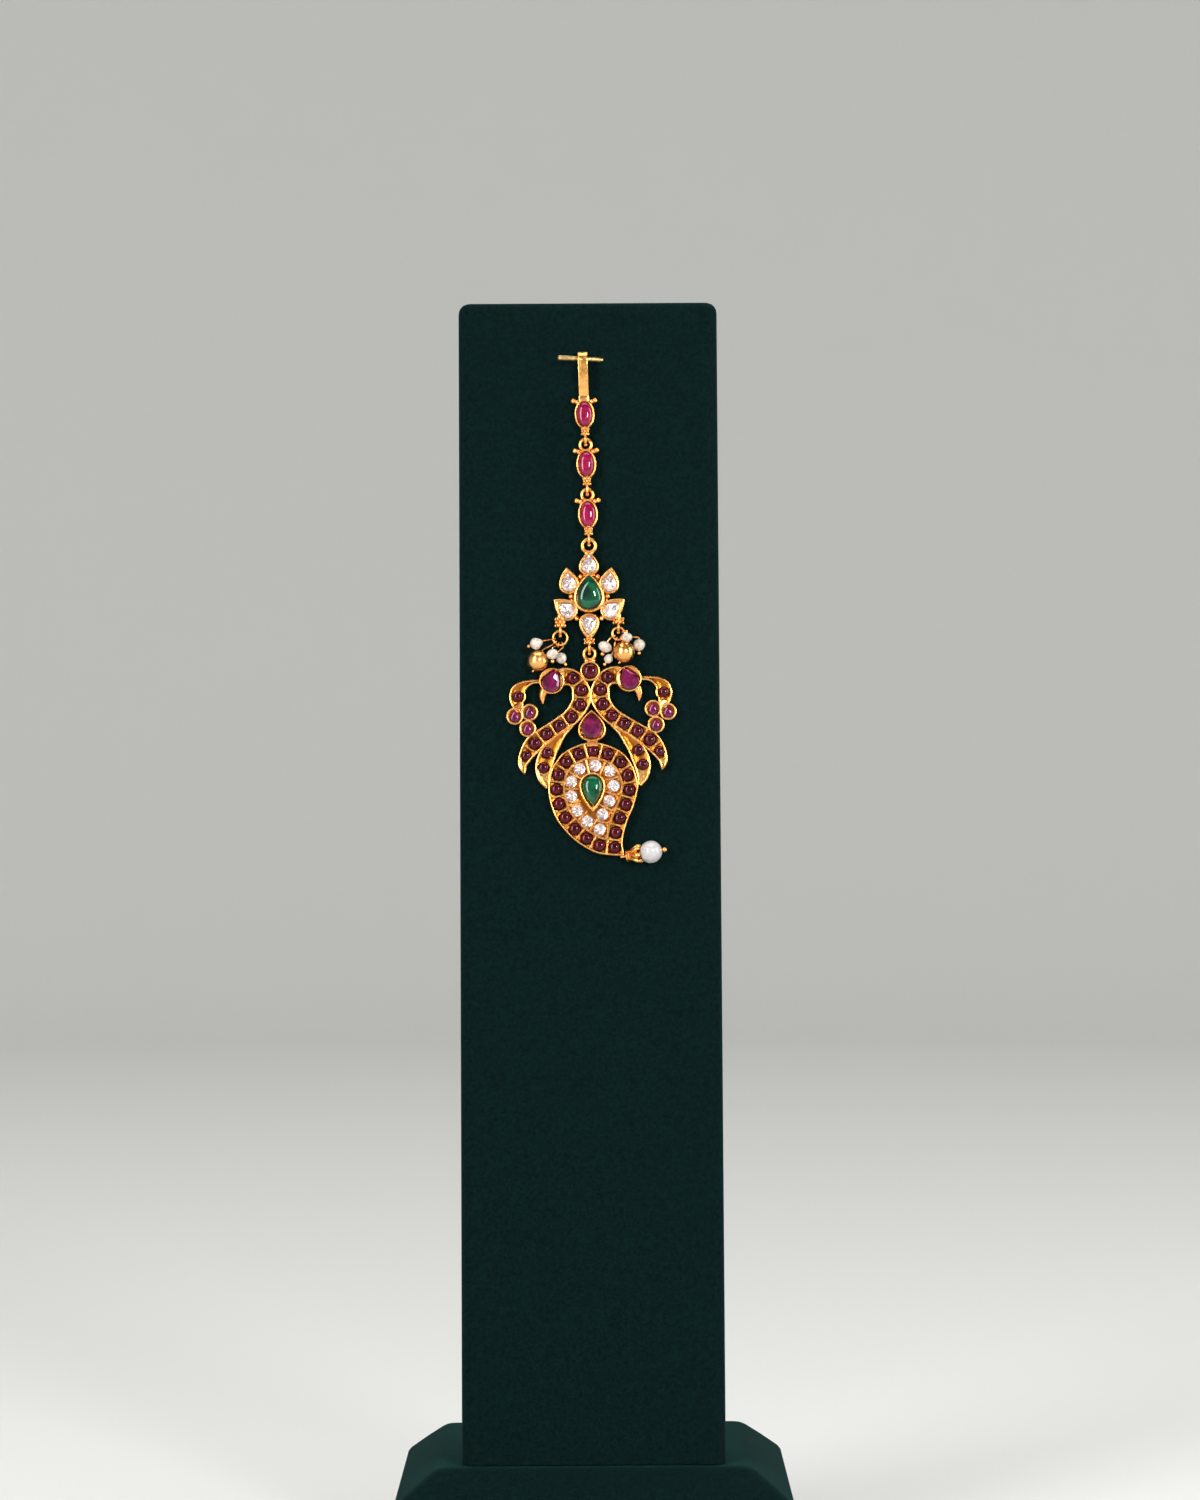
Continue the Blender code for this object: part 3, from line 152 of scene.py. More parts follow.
def add_bump(shader, noise_kind, height, strength=1.0, under=None):
    """Cloudy bumps of about the height given in millimetres, on top of other bumps."""
    source = add_noise(shader, *noise_kind)
    nodes, links = shader.id_data.nodes, shader.id_data.links
    bump = nodes.new("ShaderNodeBump")
    bump.inputs["Distance"].default_value = height * MM
    bump.inputs["Strength"].default_value = strength
    links.new(source, bump.inputs["Height"])
    if under:
        links.new(under.outputs["Normal"], bump.inputs["Normal"])
    links.new(bump.outputs["Normal"], shader.inputs["Normal"])
    return bump


def add_clouds(shader, title, noise_kind, low, high, start=0.35, end=0.65):
    """Blends one of the shader's settings between two values or colours, in a cloudy pattern."""
    source = add_noise(shader, *noise_kind)
    nodes, links = shader.id_data.nodes, shader.id_data.links
    ramp = nodes.new("ShaderNodeValToRGB")
    for element, share, colour in zip(ramp.color_ramp.elements, (start, end), (low, high)):
        element.position = share
        element.color = (*colour, 1)
    links.new(source, ramp.inputs["Fac"])
    links.new(ramp.outputs["Color"], shader.inputs[title])


def velvet_material():
    """Short pile, dark from straight on and pale along its edges, with faint folds and a fine nap."""
    nap = {"Specular IOR Level": 0.05, "Sheen Weight": 0.3, "Sheen Roughness": 0.32}
    nap["Sheen Tint"] = (*VELVET_SHEEN, 1)
    material, shader = make_material("velvet", VELVET_DARK, 0.95, 0, nap)
    add_clouds(shader, "Base Color", (0.7, 3), VELVET_DARK, VELVET_LIGHT)
    folds = add_bump(shader, (14, 1), 0.8, 0.35)
    add_bump(shader, (0.35, 3), 0.22, 0.8, folds)
    return material


def soft_rectangle(half_x, half_y, radius, steps=6):
    """A rectangle with round corners, from its right side round to the left."""
    outline = []
    for quarter, (x, y) in enumerate([(1, 1), (-1, 1), (-1, -1), (1, -1)]):
        for step in range(steps + 1):
            angle = pi / 2 * (quarter + step / steps)
            reach_x, reach_y = x * (half_x - radius), y * (half_y - radius)
            outline.append(Vector((reach_x + radius * cos(angle), reach_y + radius * sin(angle))))
    return outline


def make_board(velvet):
    mesh = bmesh.new()
    rows = []
    half_x, half_y = BOARD_WIDTH / 2, BOARD_DEPTH / 2
    heights = [BOARD_LENGTH * i / BOARD_ROWS for i in range(1, BOARD_ROWS)]
    for height in [0, 1, *heights, BOARD_LENGTH - BOARD_EDGE]:
        outline = soft_rectangle(half_x, half_y, BOARD_EDGE)
        slope = tan(LEAN) if height < BOARD_EDGE else 0
        rows.append([(p.x, half_y + p.y, height + slope * (half_y + p.y)) for p in outline])
    for step in range(1, 6):
        angle = pi / 2 * step / 5
        inset = BOARD_EDGE * (1 - cos(angle))
        outline = soft_rectangle(half_x - inset, half_y - inset, BOARD_EDGE * (1.02 - sin(angle) * 0.6))
        rows.append([(p.x, half_y + p.y, BOARD_LENGTH - BOARD_EDGE * (1 - sin(angle))) for p in outline])
    add_skin(mesh, rows)
    piece("board_velvet", mesh, ON_FACE, velvet, "root", "velvet", ["stand_pillar"], crease=60)


def make_foot(velvet):
    mesh = bmesh.new()
    half, top_half = FOOT_WIDTH / 2, FOOT_TOP_WIDTH / 2
    shoulder = FOOT_HEIGHT - FOOT_SHOULDER
    run = half - top_half
    profile = [(0, 0), (0, shoulder * 0.5), (0, shoulder - 1.4)]
    profile += [(0.25, shoulder - 0.4), (0.9, shoulder + 0.5)]
    profile += [(run * 0.5, shoulder + FOOT_SHOULDER * 0.52), (run - 1.3, FOOT_HEIGHT - 0.75)]
    profile += [(run - 0.3, FOOT_HEIGHT - 0.2), (run + 1.2, FOOT_HEIGHT), (run + 6, FOOT_HEIGHT)]
    rows = []
    for inset, height in profile:
        outline = soft_rectangle(half - inset, half - inset, FOOT_EDGE)
        rows.append([(p.x, p.y, height) for p in outline])
    add_skin(mesh, rows)
    piece("foot_velvet", mesh, ON_TABLE, velvet, "root", "velvet", ["stand_base"], crease=60)


velvet = velvet_material()
make_board(velvet)
make_foot(velvet)


# Brass pin
# A plain dull brass pin with a rounded end is pushed into the velvet, slanting down to the left of it.
# The hook hangs on it close to the board.

PIN_RADIUS = 0.55
PIN_REACH = 10.2
PIN_SUNK = 4.0
PIN_SLANT = radians(33)
PIN_ABOVE_ARCH = 0.25
BRASS_DARK = (0.30, 0.19, 0.07)
BRASS_LIGHT = (0.62, 0.44, 0.18)


def brass_material():
    material, shader = make_material("dull brass", BRASS_LIGHT, 0.36, 1)
    add_clouds(shader, "Base Color", (0.8, 4), BRASS_DARK, BRASS_LIGHT)
    add_bump(shader, (0.2, 3), 0.02)
    return material


def turns(count):
    """Angles at even steps round a circle."""
    return [2 * pi * i / count for i in range(count)]


def add_tube(mesh, points, radii, sides=12):
    """A round wire along points, with one radius for all of them or one for each."""
    if not isinstance(radii, (list, tuple)):
        radii = [radii] * len(points)
    rows = []
    across = None
    for before, point, after, radius in zip([points[0], *points], points, [*points[1:], points[-1]], radii):
        direction = (after - before).normalized()
        across = direction.orthogonal() if across is None else across - across.dot(direction) * direction
        across.normalize()
        up = direction.cross(across)
        rows.append([point + radius * (cos(a) * across + sin(a) * up) for a in turns(sides)])
    add_skin(mesh, rows)


def make_pin(brass, hook_x, arch_height, arch_depth):
    slant = sin(PIN_SLANT)
    outwards = Vector((-cos(PIN_SLANT), -slant, -slant * tan(LEAN))).normalized()
    middle = Vector((hook_x, -arch_depth, arch_height + PIN_ABOVE_ARCH))
    entry = middle - outwards * arch_depth / slant
    profile = [(-PIN_SUNK, 0.97), (0, 0.97), (PIN_REACH * 0.5, 0.97)]
    profile += [(PIN_REACH - 0.35, 0.97), (PIN_REACH - 0.15, 0.85), (PIN_REACH - 0.03, 0.5)]
    points = [entry + along * outwards for along, _ in profile]
    mesh = bmesh.new()
    add_tube(mesh, points, [PIN_RADIUS * share for _, share in profile], 20)
    piece("pin_brass", mesh, ON_FACE, brass, "root", "pin_brass", ["stand_pin"])


# Chain
# Three oval rubies sit in high closed bezels of yellow gold, each with granules at its shoulders, a
# wrapped coil of granules below and a ring above. A strap hook is soldered to the first.

GOLD = (0.84, 0.44, 0.14)
GOLD_DEEP = (0.74, 0.29, 0.060)
# Painted shade: the cells' floors get this darker gold in place of the shade that falls in them.
CELL_PAINTED_SHADE_GOLD = (0.34, 0.115, 0.014)
CHAIN_LEAN = radians(1.6)
FLOWER_HEIGHT = 181.0
FLOWER_RING_RADIUS, FLOWER_RING_WIRE, FLOWER_RING_UP = 1.38, 0.43, 9.95
BACK = 0.32                     # depth of the backs of the settings
LOOP_DEPTH = 1.55
LINK_WIRE, LOOP_WIRE, LOOP_PLAY = 0.37, 0.34, 0.18
LINK_RING_RADIUS = 1.2
RUBY_WIDTH, RUBY_HEIGHT = 3.1, 5.1
FIT = 0.05
LIP = 0.34                      # width of the rounded upper edge of a bezel
BEZEL_WALL = 0.5
BEZEL_FRONT, BEZEL_SEAT = 2.5, 1.3
RING_ABOVE_RUBY, LOOP_BELOW_RUBY = 4.15, 5.25
SHOULDER_GRANULES = [(2.28, 2.95, 0.6), (1.5, 2.7, 0.54)]      # out, up and radius
HOOK_WIDTH, HOOK_TAIL_WIDTH, HOOK_THICKNESS = 2.1, 1.3, 0.5
HOOK_INNER_RADIUS, HOOK_RISE, HOOK_TAIL = 1.35, 11.5, 2.2
HOOK_LEG = [(0, 0), (0.4, 0.3), (0.82, 0.7)]
HOOK_OUTER = [(-1, 0.1), (-0.95, 0.36), (-0.8, 0.5), (-0.6, 0.46), (-0.3, 0.38), (0, 0.36)]
HOOK_INNER = [(0.94, -0.35), (0, -0.5), (-0.94, -0.35)]
RUBY_DEEP = (0.14, 0.0004, 0.019)
RUBY_BRIGHT = (0.29, 0.002, 0.054)
RUBY_GLOSS = (1.0, 0.72, 0.80)


def gold_material():
    """Satin yellow gold, deeper in patches, with the small dents and scratches of handwork."""
    material, shader = make_material("yellow gold", GOLD, 0.24, 1)
    add_clouds(shader, "Base Color", (1.6, 3), GOLD_DEEP, GOLD, 0.3, 0.6)
    add_clouds(shader, "Roughness", (0.5, 3), (0.16,) * 3, (0.34,) * 3)
    dents = add_bump(shader, (0.9, 2), 0.03, 0.7)
    add_bump(shader, (0.16, 2), 0.008, 0.8, dents)
    return material


def stone_material(name, deep, bright, tint, roughness=0.04, size=1.6, ior=1.6):
    """A polished stone, clouded inside, over foil that tints its gloss."""
    material, shader = make_material(name, bright, roughness, 0, {"IOR": ior, "Specular Tint": (*tint, 1)})
    add_clouds(shader, "Base Color", (size, 2, 0.6), deep, bright, 0.38, 0.68)
    return material


def at(outline, depth):
    """Points in front of the velvet that follow a flat outline."""
    return [Vector((point.x, -depth, point.y)) for point in outline]


def in_loops(x, z):
    """A point in the plane that the rings and loops lie in."""
    return Vector((x, -LOOP_DEPTH, z))


def middle_of(outline):
    return sum(outline, Vector((0, 0))) / len(outline)


def resized(outline, share):
    middle = middle_of(outline)
    return [middle + share * (point - middle) for point in outline]


def oval(width, height, sides=48, centre=(0, 0)):
    return [Vector(centre) + Vector((width / 2 * sin(a), height / 2 * cos(a))) for a in turns(sides)]


def disc(radius, sides=32, centre=(0, 0)):
    return oval(2 * radius, 2 * radius, sides, centre)


def add_ball(mesh, centre, radius, sides=14):
    """A small round granule."""
    rows = []
    for row in range(1, sides // 2):
        angle = pi * row / (sides // 2)
        reach, up = radius * sin(angle), radius * cos(angle)
        rows.append([centre + Vector((reach * cos(a), reach * sin(a), up)) for a in turns(sides)])
    add_skin(mesh, rows)


def add_bezel(mesh, edge_at, wall, front, seat, back=BACK, lip=LIP):
    """A closed cup with a rounded lip. edge_at gives the outline at a distance outside the stone."""
    lip = min(lip, 0.8 * wall)
    profile = [(0.12, back), (0.0, back + 0.18)]
    for share, drop in ((0, 0.4), (0.12, 0.12), (0.35, 0), (0.7, 0), (0.92, 0.12), (1, 0.4)):
        profile.append((share * lip, front - drop * lip))
    profile += [(wall - 0.02, front - 0.35 * lip - 0.75 * (wall - lip)), (wall, seat)]
    add_skin(mesh, [at(edge_at(wall - inset), depth) for inset, depth in profile])


def add_cabochon(mesh, outline, seat, girdle, height, rows=9):
    """A domed stone over an outline."""
    levels = [(1.0, seat), (1.0, girdle)]
    for row in range(1, rows + 1):
        angle = pi / 2 * row / (rows + 0.35)
        levels.append((cos(angle) ** 0.8, girdle + height * sin(angle)))
    add_skin(mesh, [at(resized(outline, share), depth) for share, depth in levels])


def add_ring(mesh, centre, across, up, radius, wire, sides=40, wire_sides=14):
    """A closed ring of round wire in the plane of two directions."""
    axis = across.cross(up)
    rows = []
    for angle in turns(sides):
        outwards = cos(angle) * across + sin(angle) * up
        bends = turns(wire_sides)
        rows.append([centre + (radius + wire * cos(b)) * outwards + wire * sin(b) * axis for b in bends])
    add_skin(mesh, rows, ring=True)


def add_front_ring(mesh, z, radius, wire):
    add_ring(mesh, in_loops(0, z), Vector((1, 0, 0)), Vector((0, 0, 1)), radius, wire)


def add_coil(mesh, x, top, ring_top, ring_wire, radius, per_row=6):
    """Three rows of granules round a stem, with an edge-on loop below them round a ring's wire."""
    inner = ring_wire + LOOP_PLAY
    bottom = ring_top + inner + LOOP_WIRE
    grain = (top - bottom) / 4.5
    add_tube(mesh, [in_loops(x, top + 0.6), in_loops(x, bottom)], 0.55 * radius)
    for row in range(3):
        height = top - (row + 0.5) * (top - bottom) / 3
        for step in range(per_row):
            angle = 2 * pi * (step + 0.5 * (row % 2)) / per_row
            reach = radius - grain
            place = in_loops(x + reach * cos(angle), height) - Vector((0, reach * sin(angle), 0))
            add_ball(mesh, place, grain, 12)
    backwards, up = Vector((0, 1, 0)), Vector((0, 0, 1))
    add_ring(mesh, in_loops(x, ring_top), backwards, up, inner + LOOP_WIRE, LOOP_WIRE, 24, 10)
    add_ball(mesh, in_loops(x, ring_top - inner - 1.6 * LOOP_WIRE), 0.42, 12)


def smooth_curve(points, steps):
    """Points on a smooth curve through the given ones, with the same number of steps in each span."""
    padded = [2 * points[0] - points[1], *points, 2 * points[-1] - points[-2]]
    curve = []
    for before, start, end, after in zip(padded, padded[1:], padded[2:], padded[3:]):
        bend = 2 * before - 5 * start + 4 * end - after
        twist = 3 * start - before - 3 * end + after
        for step in range(steps):
            t = step / steps
            curve.append(start + 0.5 * (t * (end - before) + t ** 2 * bend + t ** 3 * twist))
    curve.append(points[-1].copy())
    return curve


def right_of(direction):
    return Vector((direction.y, -direction.x))


def add_hook(mesh):
    """A flat strap, dished on its outer side, up from the bezel, over the pin and down behind it."""
    reach = HOOK_INNER_RADIUS + HOOK_THICKNESS / 2
    arch_depth = BACK + HOOK_THICKNESS + HOOK_INNER_RADIUS
    foot = Vector((LOOP_DEPTH, RUBY_HEIGHT / 2 + BEZEL_WALL / 2, HOOK_WIDTH))
    front = Vector((arch_depth + reach, HOOK_RISE, HOOK_WIDTH))
    leg = [foot + Vector((out * (front.x - foot.x), up * (front.y - foot.y), 0)) for out, up in HOOK_LEG]
    path = smooth_curve([*leg, front], 8)
    for step in range(1, 16):
        angle = pi * step / 16
        path.append(Vector((arch_depth + reach * cos(angle), HOOK_RISE + reach * sin(angle), HOOK_WIDTH)))
    tail = [(HOOK_WIDTH * 0.9, 0), (HOOK_TAIL_WIDTH, 0.5), (HOOK_TAIL_WIDTH * 0.9, 0.95), (0.5, 1.0)]
    path += [Vector((arch_depth - reach, HOOK_RISE - share * HOOK_TAIL, width)) for width, share in tail]
    section = HOOK_OUTER + [(-x, y) for x, y in reversed(HOOK_OUTER[:-1])] + HOOK_INNER
    rows = []
    for before, point, after in zip([path[0], *path], path, [*path[1:], path[-1]]):
        normal = HOOK_THICKNESS * right_of((after - before).to_2d().normalized())
        half = point.z / 2
        rows.append([(x * half, -point.x - y * normal.x, point.y + y * normal.y) for x, y in section])
    add_skin(mesh, rows)
    solder = soft_rectangle(HOOK_WIDTH / 2 + 0.06, 0.68, 0.28)
    middle = Vector((0, foot.y + 0.6))
    levels = [(1.0, -0.2), (1.0, 0.42), (0.93, 0.56), (0.75, 0.62)]
    add_skin(mesh, [at([middle + share * p for p in solder], LOOP_DEPTH + out) for share, out in levels])


def ruby_edge(grow):
    return oval(RUBY_WIDTH + 2 * grow, RUBY_HEIGHT + 2 * grow)


def make_chain(gold, ruby):
    """Three links hung one below another on a leaning line that ends at the flower's ring."""
    upwards = Vector((-sin(CHAIN_LEAN), 0, cos(CHAIN_LEAN)))
    hung_on = Vector((0, 0, FLOWER_HEIGHT + FLOWER_RING_UP + FLOWER_RING_RADIUS))
    for number in (3, 2, 1):
        spot = hung_on + LOOP_BELOW_RUBY * upwards
        place = ON_FACE @ Matrix.Translation(spot) @ Matrix.Rotation(-CHAIN_LEAN, 4, "Y")
        mesh = bmesh.new()
        add_bezel(mesh, lambda grow: ruby_edge(FIT + grow), BEZEL_WALL, BEZEL_FRONT, BEZEL_SEAT)
        below = -RUBY_HEIGHT / 2 - BEZEL_WALL / 2
        add_coil(mesh, 0, below, -LOOP_BELOW_RUBY, FLOWER_RING_WIRE if number == 3 else LINK_WIRE, 0.98)
        for side in (-1, 1):
            for out, up, radius in SHOULDER_GRANULES:
                add_ball(mesh, in_loops(side * out, up), radius)
        if number == 1:
            add_hook(mesh)
        else:
            add_front_ring(mesh, RING_ABOVE_RUBY, LINK_RING_RADIUS, LINK_WIRE)
        node = "hook_link" if number == 1 else f"chain_link_{number}"
        piece(f"{node}_gold", mesh, place, gold, "root", "gold", [node])
        mesh = bmesh.new()
        add_cabochon(mesh, ruby_edge(0), BEZEL_SEAT, BEZEL_FRONT - 0.25, 0.85)
        piece(f"ruby_{number}_stone", mesh, place, ruby, "root", "ruby", [f"ruby_{number}"])
        hung_on = spot + (RING_ABOVE_RUBY + LINK_RING_RADIUS) * upwards
    return spot.x - HOOK_RISE * sin(CHAIN_LEAN), spot.z + HOOK_RISE * cos(CHAIN_LEAN)


gold = gold_material()
ruby = stone_material("oval ruby", RUBY_DEEP, RUBY_BRIGHT, RUBY_GLOSS)
hook_x, arch_height = make_chain(gold, ruby)
make_pin(brass_material(), hook_x, arch_height, BACK + HOOK_THICKNESS + HOOK_INNER_RADIUS)


# Flower
# Six white pears in thin-walled bezels stand round a green pear in a high one. Granules fill the joins,
# and three coils of granules below carry the two clusters and the main drop.

PETAL_STONE_WIDTH, PETAL_STONE_LENGTH = 3.3, 4.1
PETAL_FRONT, PETAL_SEAT, PETAL_POINT = 2.35, 1.3, 0.75
PETAL_WALL = 0.38
GREEN_WIDTH, GREEN_LENGTH = 5.0, 6.9
GREEN_WALL, GREEN_LIP, GREEN_FRONT, GREEN_SEAT = 0.72, 0.56, 3.1, 1.8
FLOWER_WIDTH, FLOWER_LENGTH = 15.2, 18.3
FLOWER_PLATE = 3.1              # radius of the dip in the middle of the plate, inside its edge of 1 mm
DROP_LOOP_OUT, DROP_COIL_TOP, DROP_COIL_RADIUS = 6.1, 5.2, 1.3
LEFT_LOOP_DOWN, RIGHT_LOOP_DOWN = 7.95, 7.3
JUMP_RING_WIRE = 0.27
MAIN_LOOP_DOWN, MAIN_COIL_TOP, MAIN_COIL_RADIUS = 11.63, 9.6, 1.22
GREEN_DEEP = (0.0002, 0.012, 0.005)
GREEN_BRIGHT = (0.0009, 0.085, 0.030)
GREEN_GLOSS = (0.70, 1.0, 0.88)
WHITE_PALE = (0.74, 0.63, 0.62)
WHITE_SHADE = (0.42, 0.32, 0.32)

Petal = namedtuple("Petal", "x z turn point")
PETALS = [Petal(*row) for row in (
    (0.00, 0.337, 0, 0.1), (0.28, 0.125, -9, 0.8), (0.316, -0.190, -52, 1.1),
    (0.00, -0.372, 180, 0.9), (-0.316, -0.190, 52, 1.1), (-0.28, 0.125, 9, 0.8),
)]
Spot = namedtuple("Spot", "out down")
FLOWER_GRANULES = [Spot(0.118, -0.187), Spot(0.250, 0.038), Spot(0.172, 0.292), Spot(0.225, 0.262)]
FLOWER_GRANULE, RING_GRANULE = 0.6, 0.38


def pear(width, length, sides=56, turn=0.0, centre=(0, 0)):
    """A teardrop with its tip turned to the left of straight up."""
    widest = 4 / (3 * 3 ** 0.5)
    middle = Vector(centre)
    outline = []
    for index in range(sides):
        t = 2 * pi * index / sides
        x = width / 2 * sin(t) * abs(sin(t / 2)) ** 0.85 / widest * 0.985
        z = length / 2 * cos(t)
        outline.append(middle + Vector((x * cos(turn) - z * sin(turn), x * sin(turn) + z * cos(turn))))
    return outline


def petal_edge(petal, grow):
    """A petal stone's outline, or its bezel's around it, whose tip is drawn out to a point."""
    turn, point = radians(petal.turn), petal.point * PETAL_POINT * grow / (FIT + PETAL_WALL)
    tip = Vector((-sin(turn), cos(turn)))
    width, length = PETAL_STONE_WIDTH + 2 * grow, PETAL_STONE_LENGTH + 2 * grow + point
    centre = Vector((petal.x * FLOWER_WIDTH, petal.z * FLOWER_LENGTH))
    return pear(width, length, 56, turn, centre + point / 2 * tip)


def add_facets(mesh, outline, seat, girdle, height, spokes=8, table=0.55, tilt=0.16, shift=None):
    """A cut stone: a crown of facets round a table, where the facets below show as tilted wedges."""
    middle = middle_of(outline)
    star = middle + (shift or Vector((0, 0)))
    step = len(outline) / spokes
    girdle_points = [outline[round(i * step) % len(outline)] for i in range(spokes)]
    half_points = [outline[round((i + 0.5) * step) % len(outline)] for i in range(spokes)]
    inner = [middle + table * (p - middle) for p in half_points]
    wedges = [star + 0.55 * table * (p - middle) for p in girdle_points]
    levels = [(girdle_points, girdle), (half_points, girdle), (girdle_points, seat), (half_points, seat)]
    levels += [(inner, girdle + height), (wedges, girdle + height - tilt)]
    levels += [([star], girdle + height - 0.4 * tilt), ([middle], seat)]
    made = [[mesh.verts.new(p) for p in at(points, depth)] for points, depth in levels]
    low, low_half, base, base_half, high, mid, (peak,), (foot,) = made
    for i in range(spokes):
        j = (i + 1) % spokes
        for corners in (
            (low[i], low_half[i], high[i]), (low_half[i], low[j], high[i]),
            (high[i], low[j], high[j]), (high[i], mid[j], high[j]),
            (high[i], peak, mid[j]), (mid[i], peak, high[i]),
            (base[i], base_half[i], low_half[i], low[i]), (base_half[i], base[j], low[j], low_half[i]),
            (base_half[i], base[i], foot), (base[j], base_half[i], foot),
        ):
            mesh.faces.new(corners)


def white_material():
    """Clear white stones over foil, which read as bright facets with pink and dark glints."""
    gloss = {"IOR": 2.1, "Coat Weight": 1.0, "Coat Roughness": 0.02}
    material, shader = make_material("white stone", WHITE_PALE, 0.06, 0.75, gloss)
    add_clouds(shader, "Base Color", (0.45, 2), WHITE_SHADE, WHITE_PALE, 0.3, 0.55)
    add_bump(shader, (0.5, 0), 0.10, 0.5)
    return material


def green_edge(grow):
    return pear(GREEN_WIDTH + 2 * grow, GREEN_LENGTH + 2 * grow, 72)


def make_flower(gold, green, white):
    place = ON_FACE @ Matrix.Translation((0, 0, FLOWER_HEIGHT))
    mesh = bmesh.new()
    add_bezel(mesh, lambda grow: disc(FLOWER_PLATE + grow, 40), 1.0, PETAL_SEAT + 0.15, PETAL_SEAT - 0.2)
    for petal in PETALS:
        add_bezel(mesh, lambda grow: petal_edge(petal, grow), FIT + PETAL_WALL, PETAL_FRONT, PETAL_SEAT)
    add_bezel(mesh, green_edge, GREEN_WALL, GREEN_FRONT, GREEN_SEAT, lip=GREEN_LIP)
    for spot in FLOWER_GRANULES:
        for side in (-1, 1):
            middle = in_loops(side * spot.out * FLOWER_WIDTH, -spot.down * FLOWER_LENGTH)
            add_ball(mesh, middle, FLOWER_GRANULE)
    add_front_ring(mesh, FLOWER_RING_UP, FLOWER_RING_RADIUS, FLOWER_RING_WIRE)
    for side in (-1, 1):
        add_ball(mesh, in_loops(side * 0.6, FLOWER_RING_UP - 1.5), RING_GRANULE)
    for x, down in ((-DROP_LOOP_OUT, LEFT_LOOP_DOWN), (DROP_LOOP_OUT, RIGHT_LOOP_DOWN)):
        add_coil(mesh, x, -DROP_COIL_TOP, -down, JUMP_RING_WIRE, DROP_COIL_RADIUS)
    add_coil(mesh, 0, -MAIN_COIL_TOP, -MAIN_LOOP_DOWN, LINK_WIRE, MAIN_COIL_RADIUS)
    piece("flower_gold", mesh, place, gold, "root", "gold", ["flower_setting"])
    mesh = bmesh.new()
    add_cabochon(mesh, green_edge(0), GREEN_SEAT, GREEN_FRONT - 0.3, 1.15)
    piece("flower_green_stone", mesh, place, green, "root", "green_stone", ["flower_green"])
    for number, petal in enumerate(PETALS, 1):
        mesh = bmesh.new()
        turn = radians(petal.turn)
        shift = 0.35 * Vector((sin(turn), -cos(turn)))
        add_facets(mesh, petal_edge(petal, 0), PETAL_SEAT, PETAL_FRONT - 0.35, 0.42, 8, 0.7, 0.16, shift)
        node = f"flower_white_{number}"
        piece(f"petal_stone_{number}", mesh, place, white, "root", "white_stone", [node], crease=0)


green = stone_material("green stone", GREEN_DEEP, GREEN_BRIGHT, GREEN_GLOSS, 0.03, 2.6)
white = white_material()
make_flower(gold, green, white)


# Clusters
# On each side a jump ring carries seed pearls and one round gold bead, each threaded on a fine headpin
# that ends in a little ball. The pearls are real and lumpy.

LEFT_RING_RADIUS, RIGHT_RING_RADIUS = 1.5, 1.3
HEADPIN_WIRE, HEADPIN_PLAY = 0.15, 0.12
PEARL_PALE = (0.58, 0.51, 0.43)
PEARL_SHADE = (0.30, 0.24, 0.19)

Drop = namedtuple("Drop", "name x z depth at hang across along head")
LEFT_DROPS = [
    Drop("seed_pearl_1", -4.95, -1.3, 3.4, 190, -70, 1.36, 1.38, 0.4),
    Drop("seed_pearl_2", -1.6, -3.6, 3.85, 256, 0, 1.35, 1.12, 0.42),
    Drop("seed_pearl_3", 0.2, -4.25, 1.8, 290, 35, 1.2, 1.2, 0.4),
    Drop("gold_ball_left", -4.7, -4.85, 2.55, 222, -25, 2.25, 2.25, 0.22),
]
RIGHT_DROPS = [
    Drop("seed_pearl_4", 1.7, -1.1, 4.95, 20, 0, 1.2, 1.0, 0.36),
    Drop("seed_pearl_5", 4.3, -2.4, 1.65, -20, 0, 1.3, 1.3, 0.42),
    Drop("seed_pearl_6", -2.75, -2.8, 1.9, 207, -23, 1.55, 1.15, 0.45),
    Drop("seed_pearl_7", -2.05, -5.2, 1.45, 250, -35, 1.0, 1.1, 0.42),
    Drop("gold_ball_right", 1.15, -4.0, 2.55, -60, -25, 2.25, 2.25, 0.22),
]


def pearl_material(name, pale, shade, size, roughness):
    """Mother-of-pearl layers: a soft shine over a body that lets a little light in."""
    lustre = {"Coat Weight": 0.5, "Coat Roughness": 0.12}
    lustre.update({"Subsurface Weight": 0.15, "Subsurface Scale": 0.5 * MM})
    material, shader = make_material(name, pale, roughness, 0, lustre)
    add_clouds(shader, "Base Color", (size, 3, 1.0), shade, pale, 0.32, 0.55)
    add_bump(shader, (size * 0.7, 2), 0.05, 0.6)
    return material


def add_bead(mesh, across, along, hole, lumps=0.0, seed=0.0, sides=36, rows=20):
    """A bead drilled along z. Lumps make its surface wavy by a share of its radius."""
    top = acos(hole / across)
    made = []
    for row in range(rows + 1):
        angle = -top + 2 * top * row / rows
        reach, up = across * cos(angle), along * sin(angle)
        loop = []
        for turn in turns(sides):
            spot = Vector((reach * cos(turn), reach * sin(turn), up))
            swell = noise.noise(spot * (0.9 / across) + Vector((seed, 0, 0))) - 0.3
            loop.append(spot * (1 + min(0.0, lumps * swell)) if abs(angle) < 0.95 * top else spot)
        made.append(loop)
    add_skin(mesh, made, ring=True)


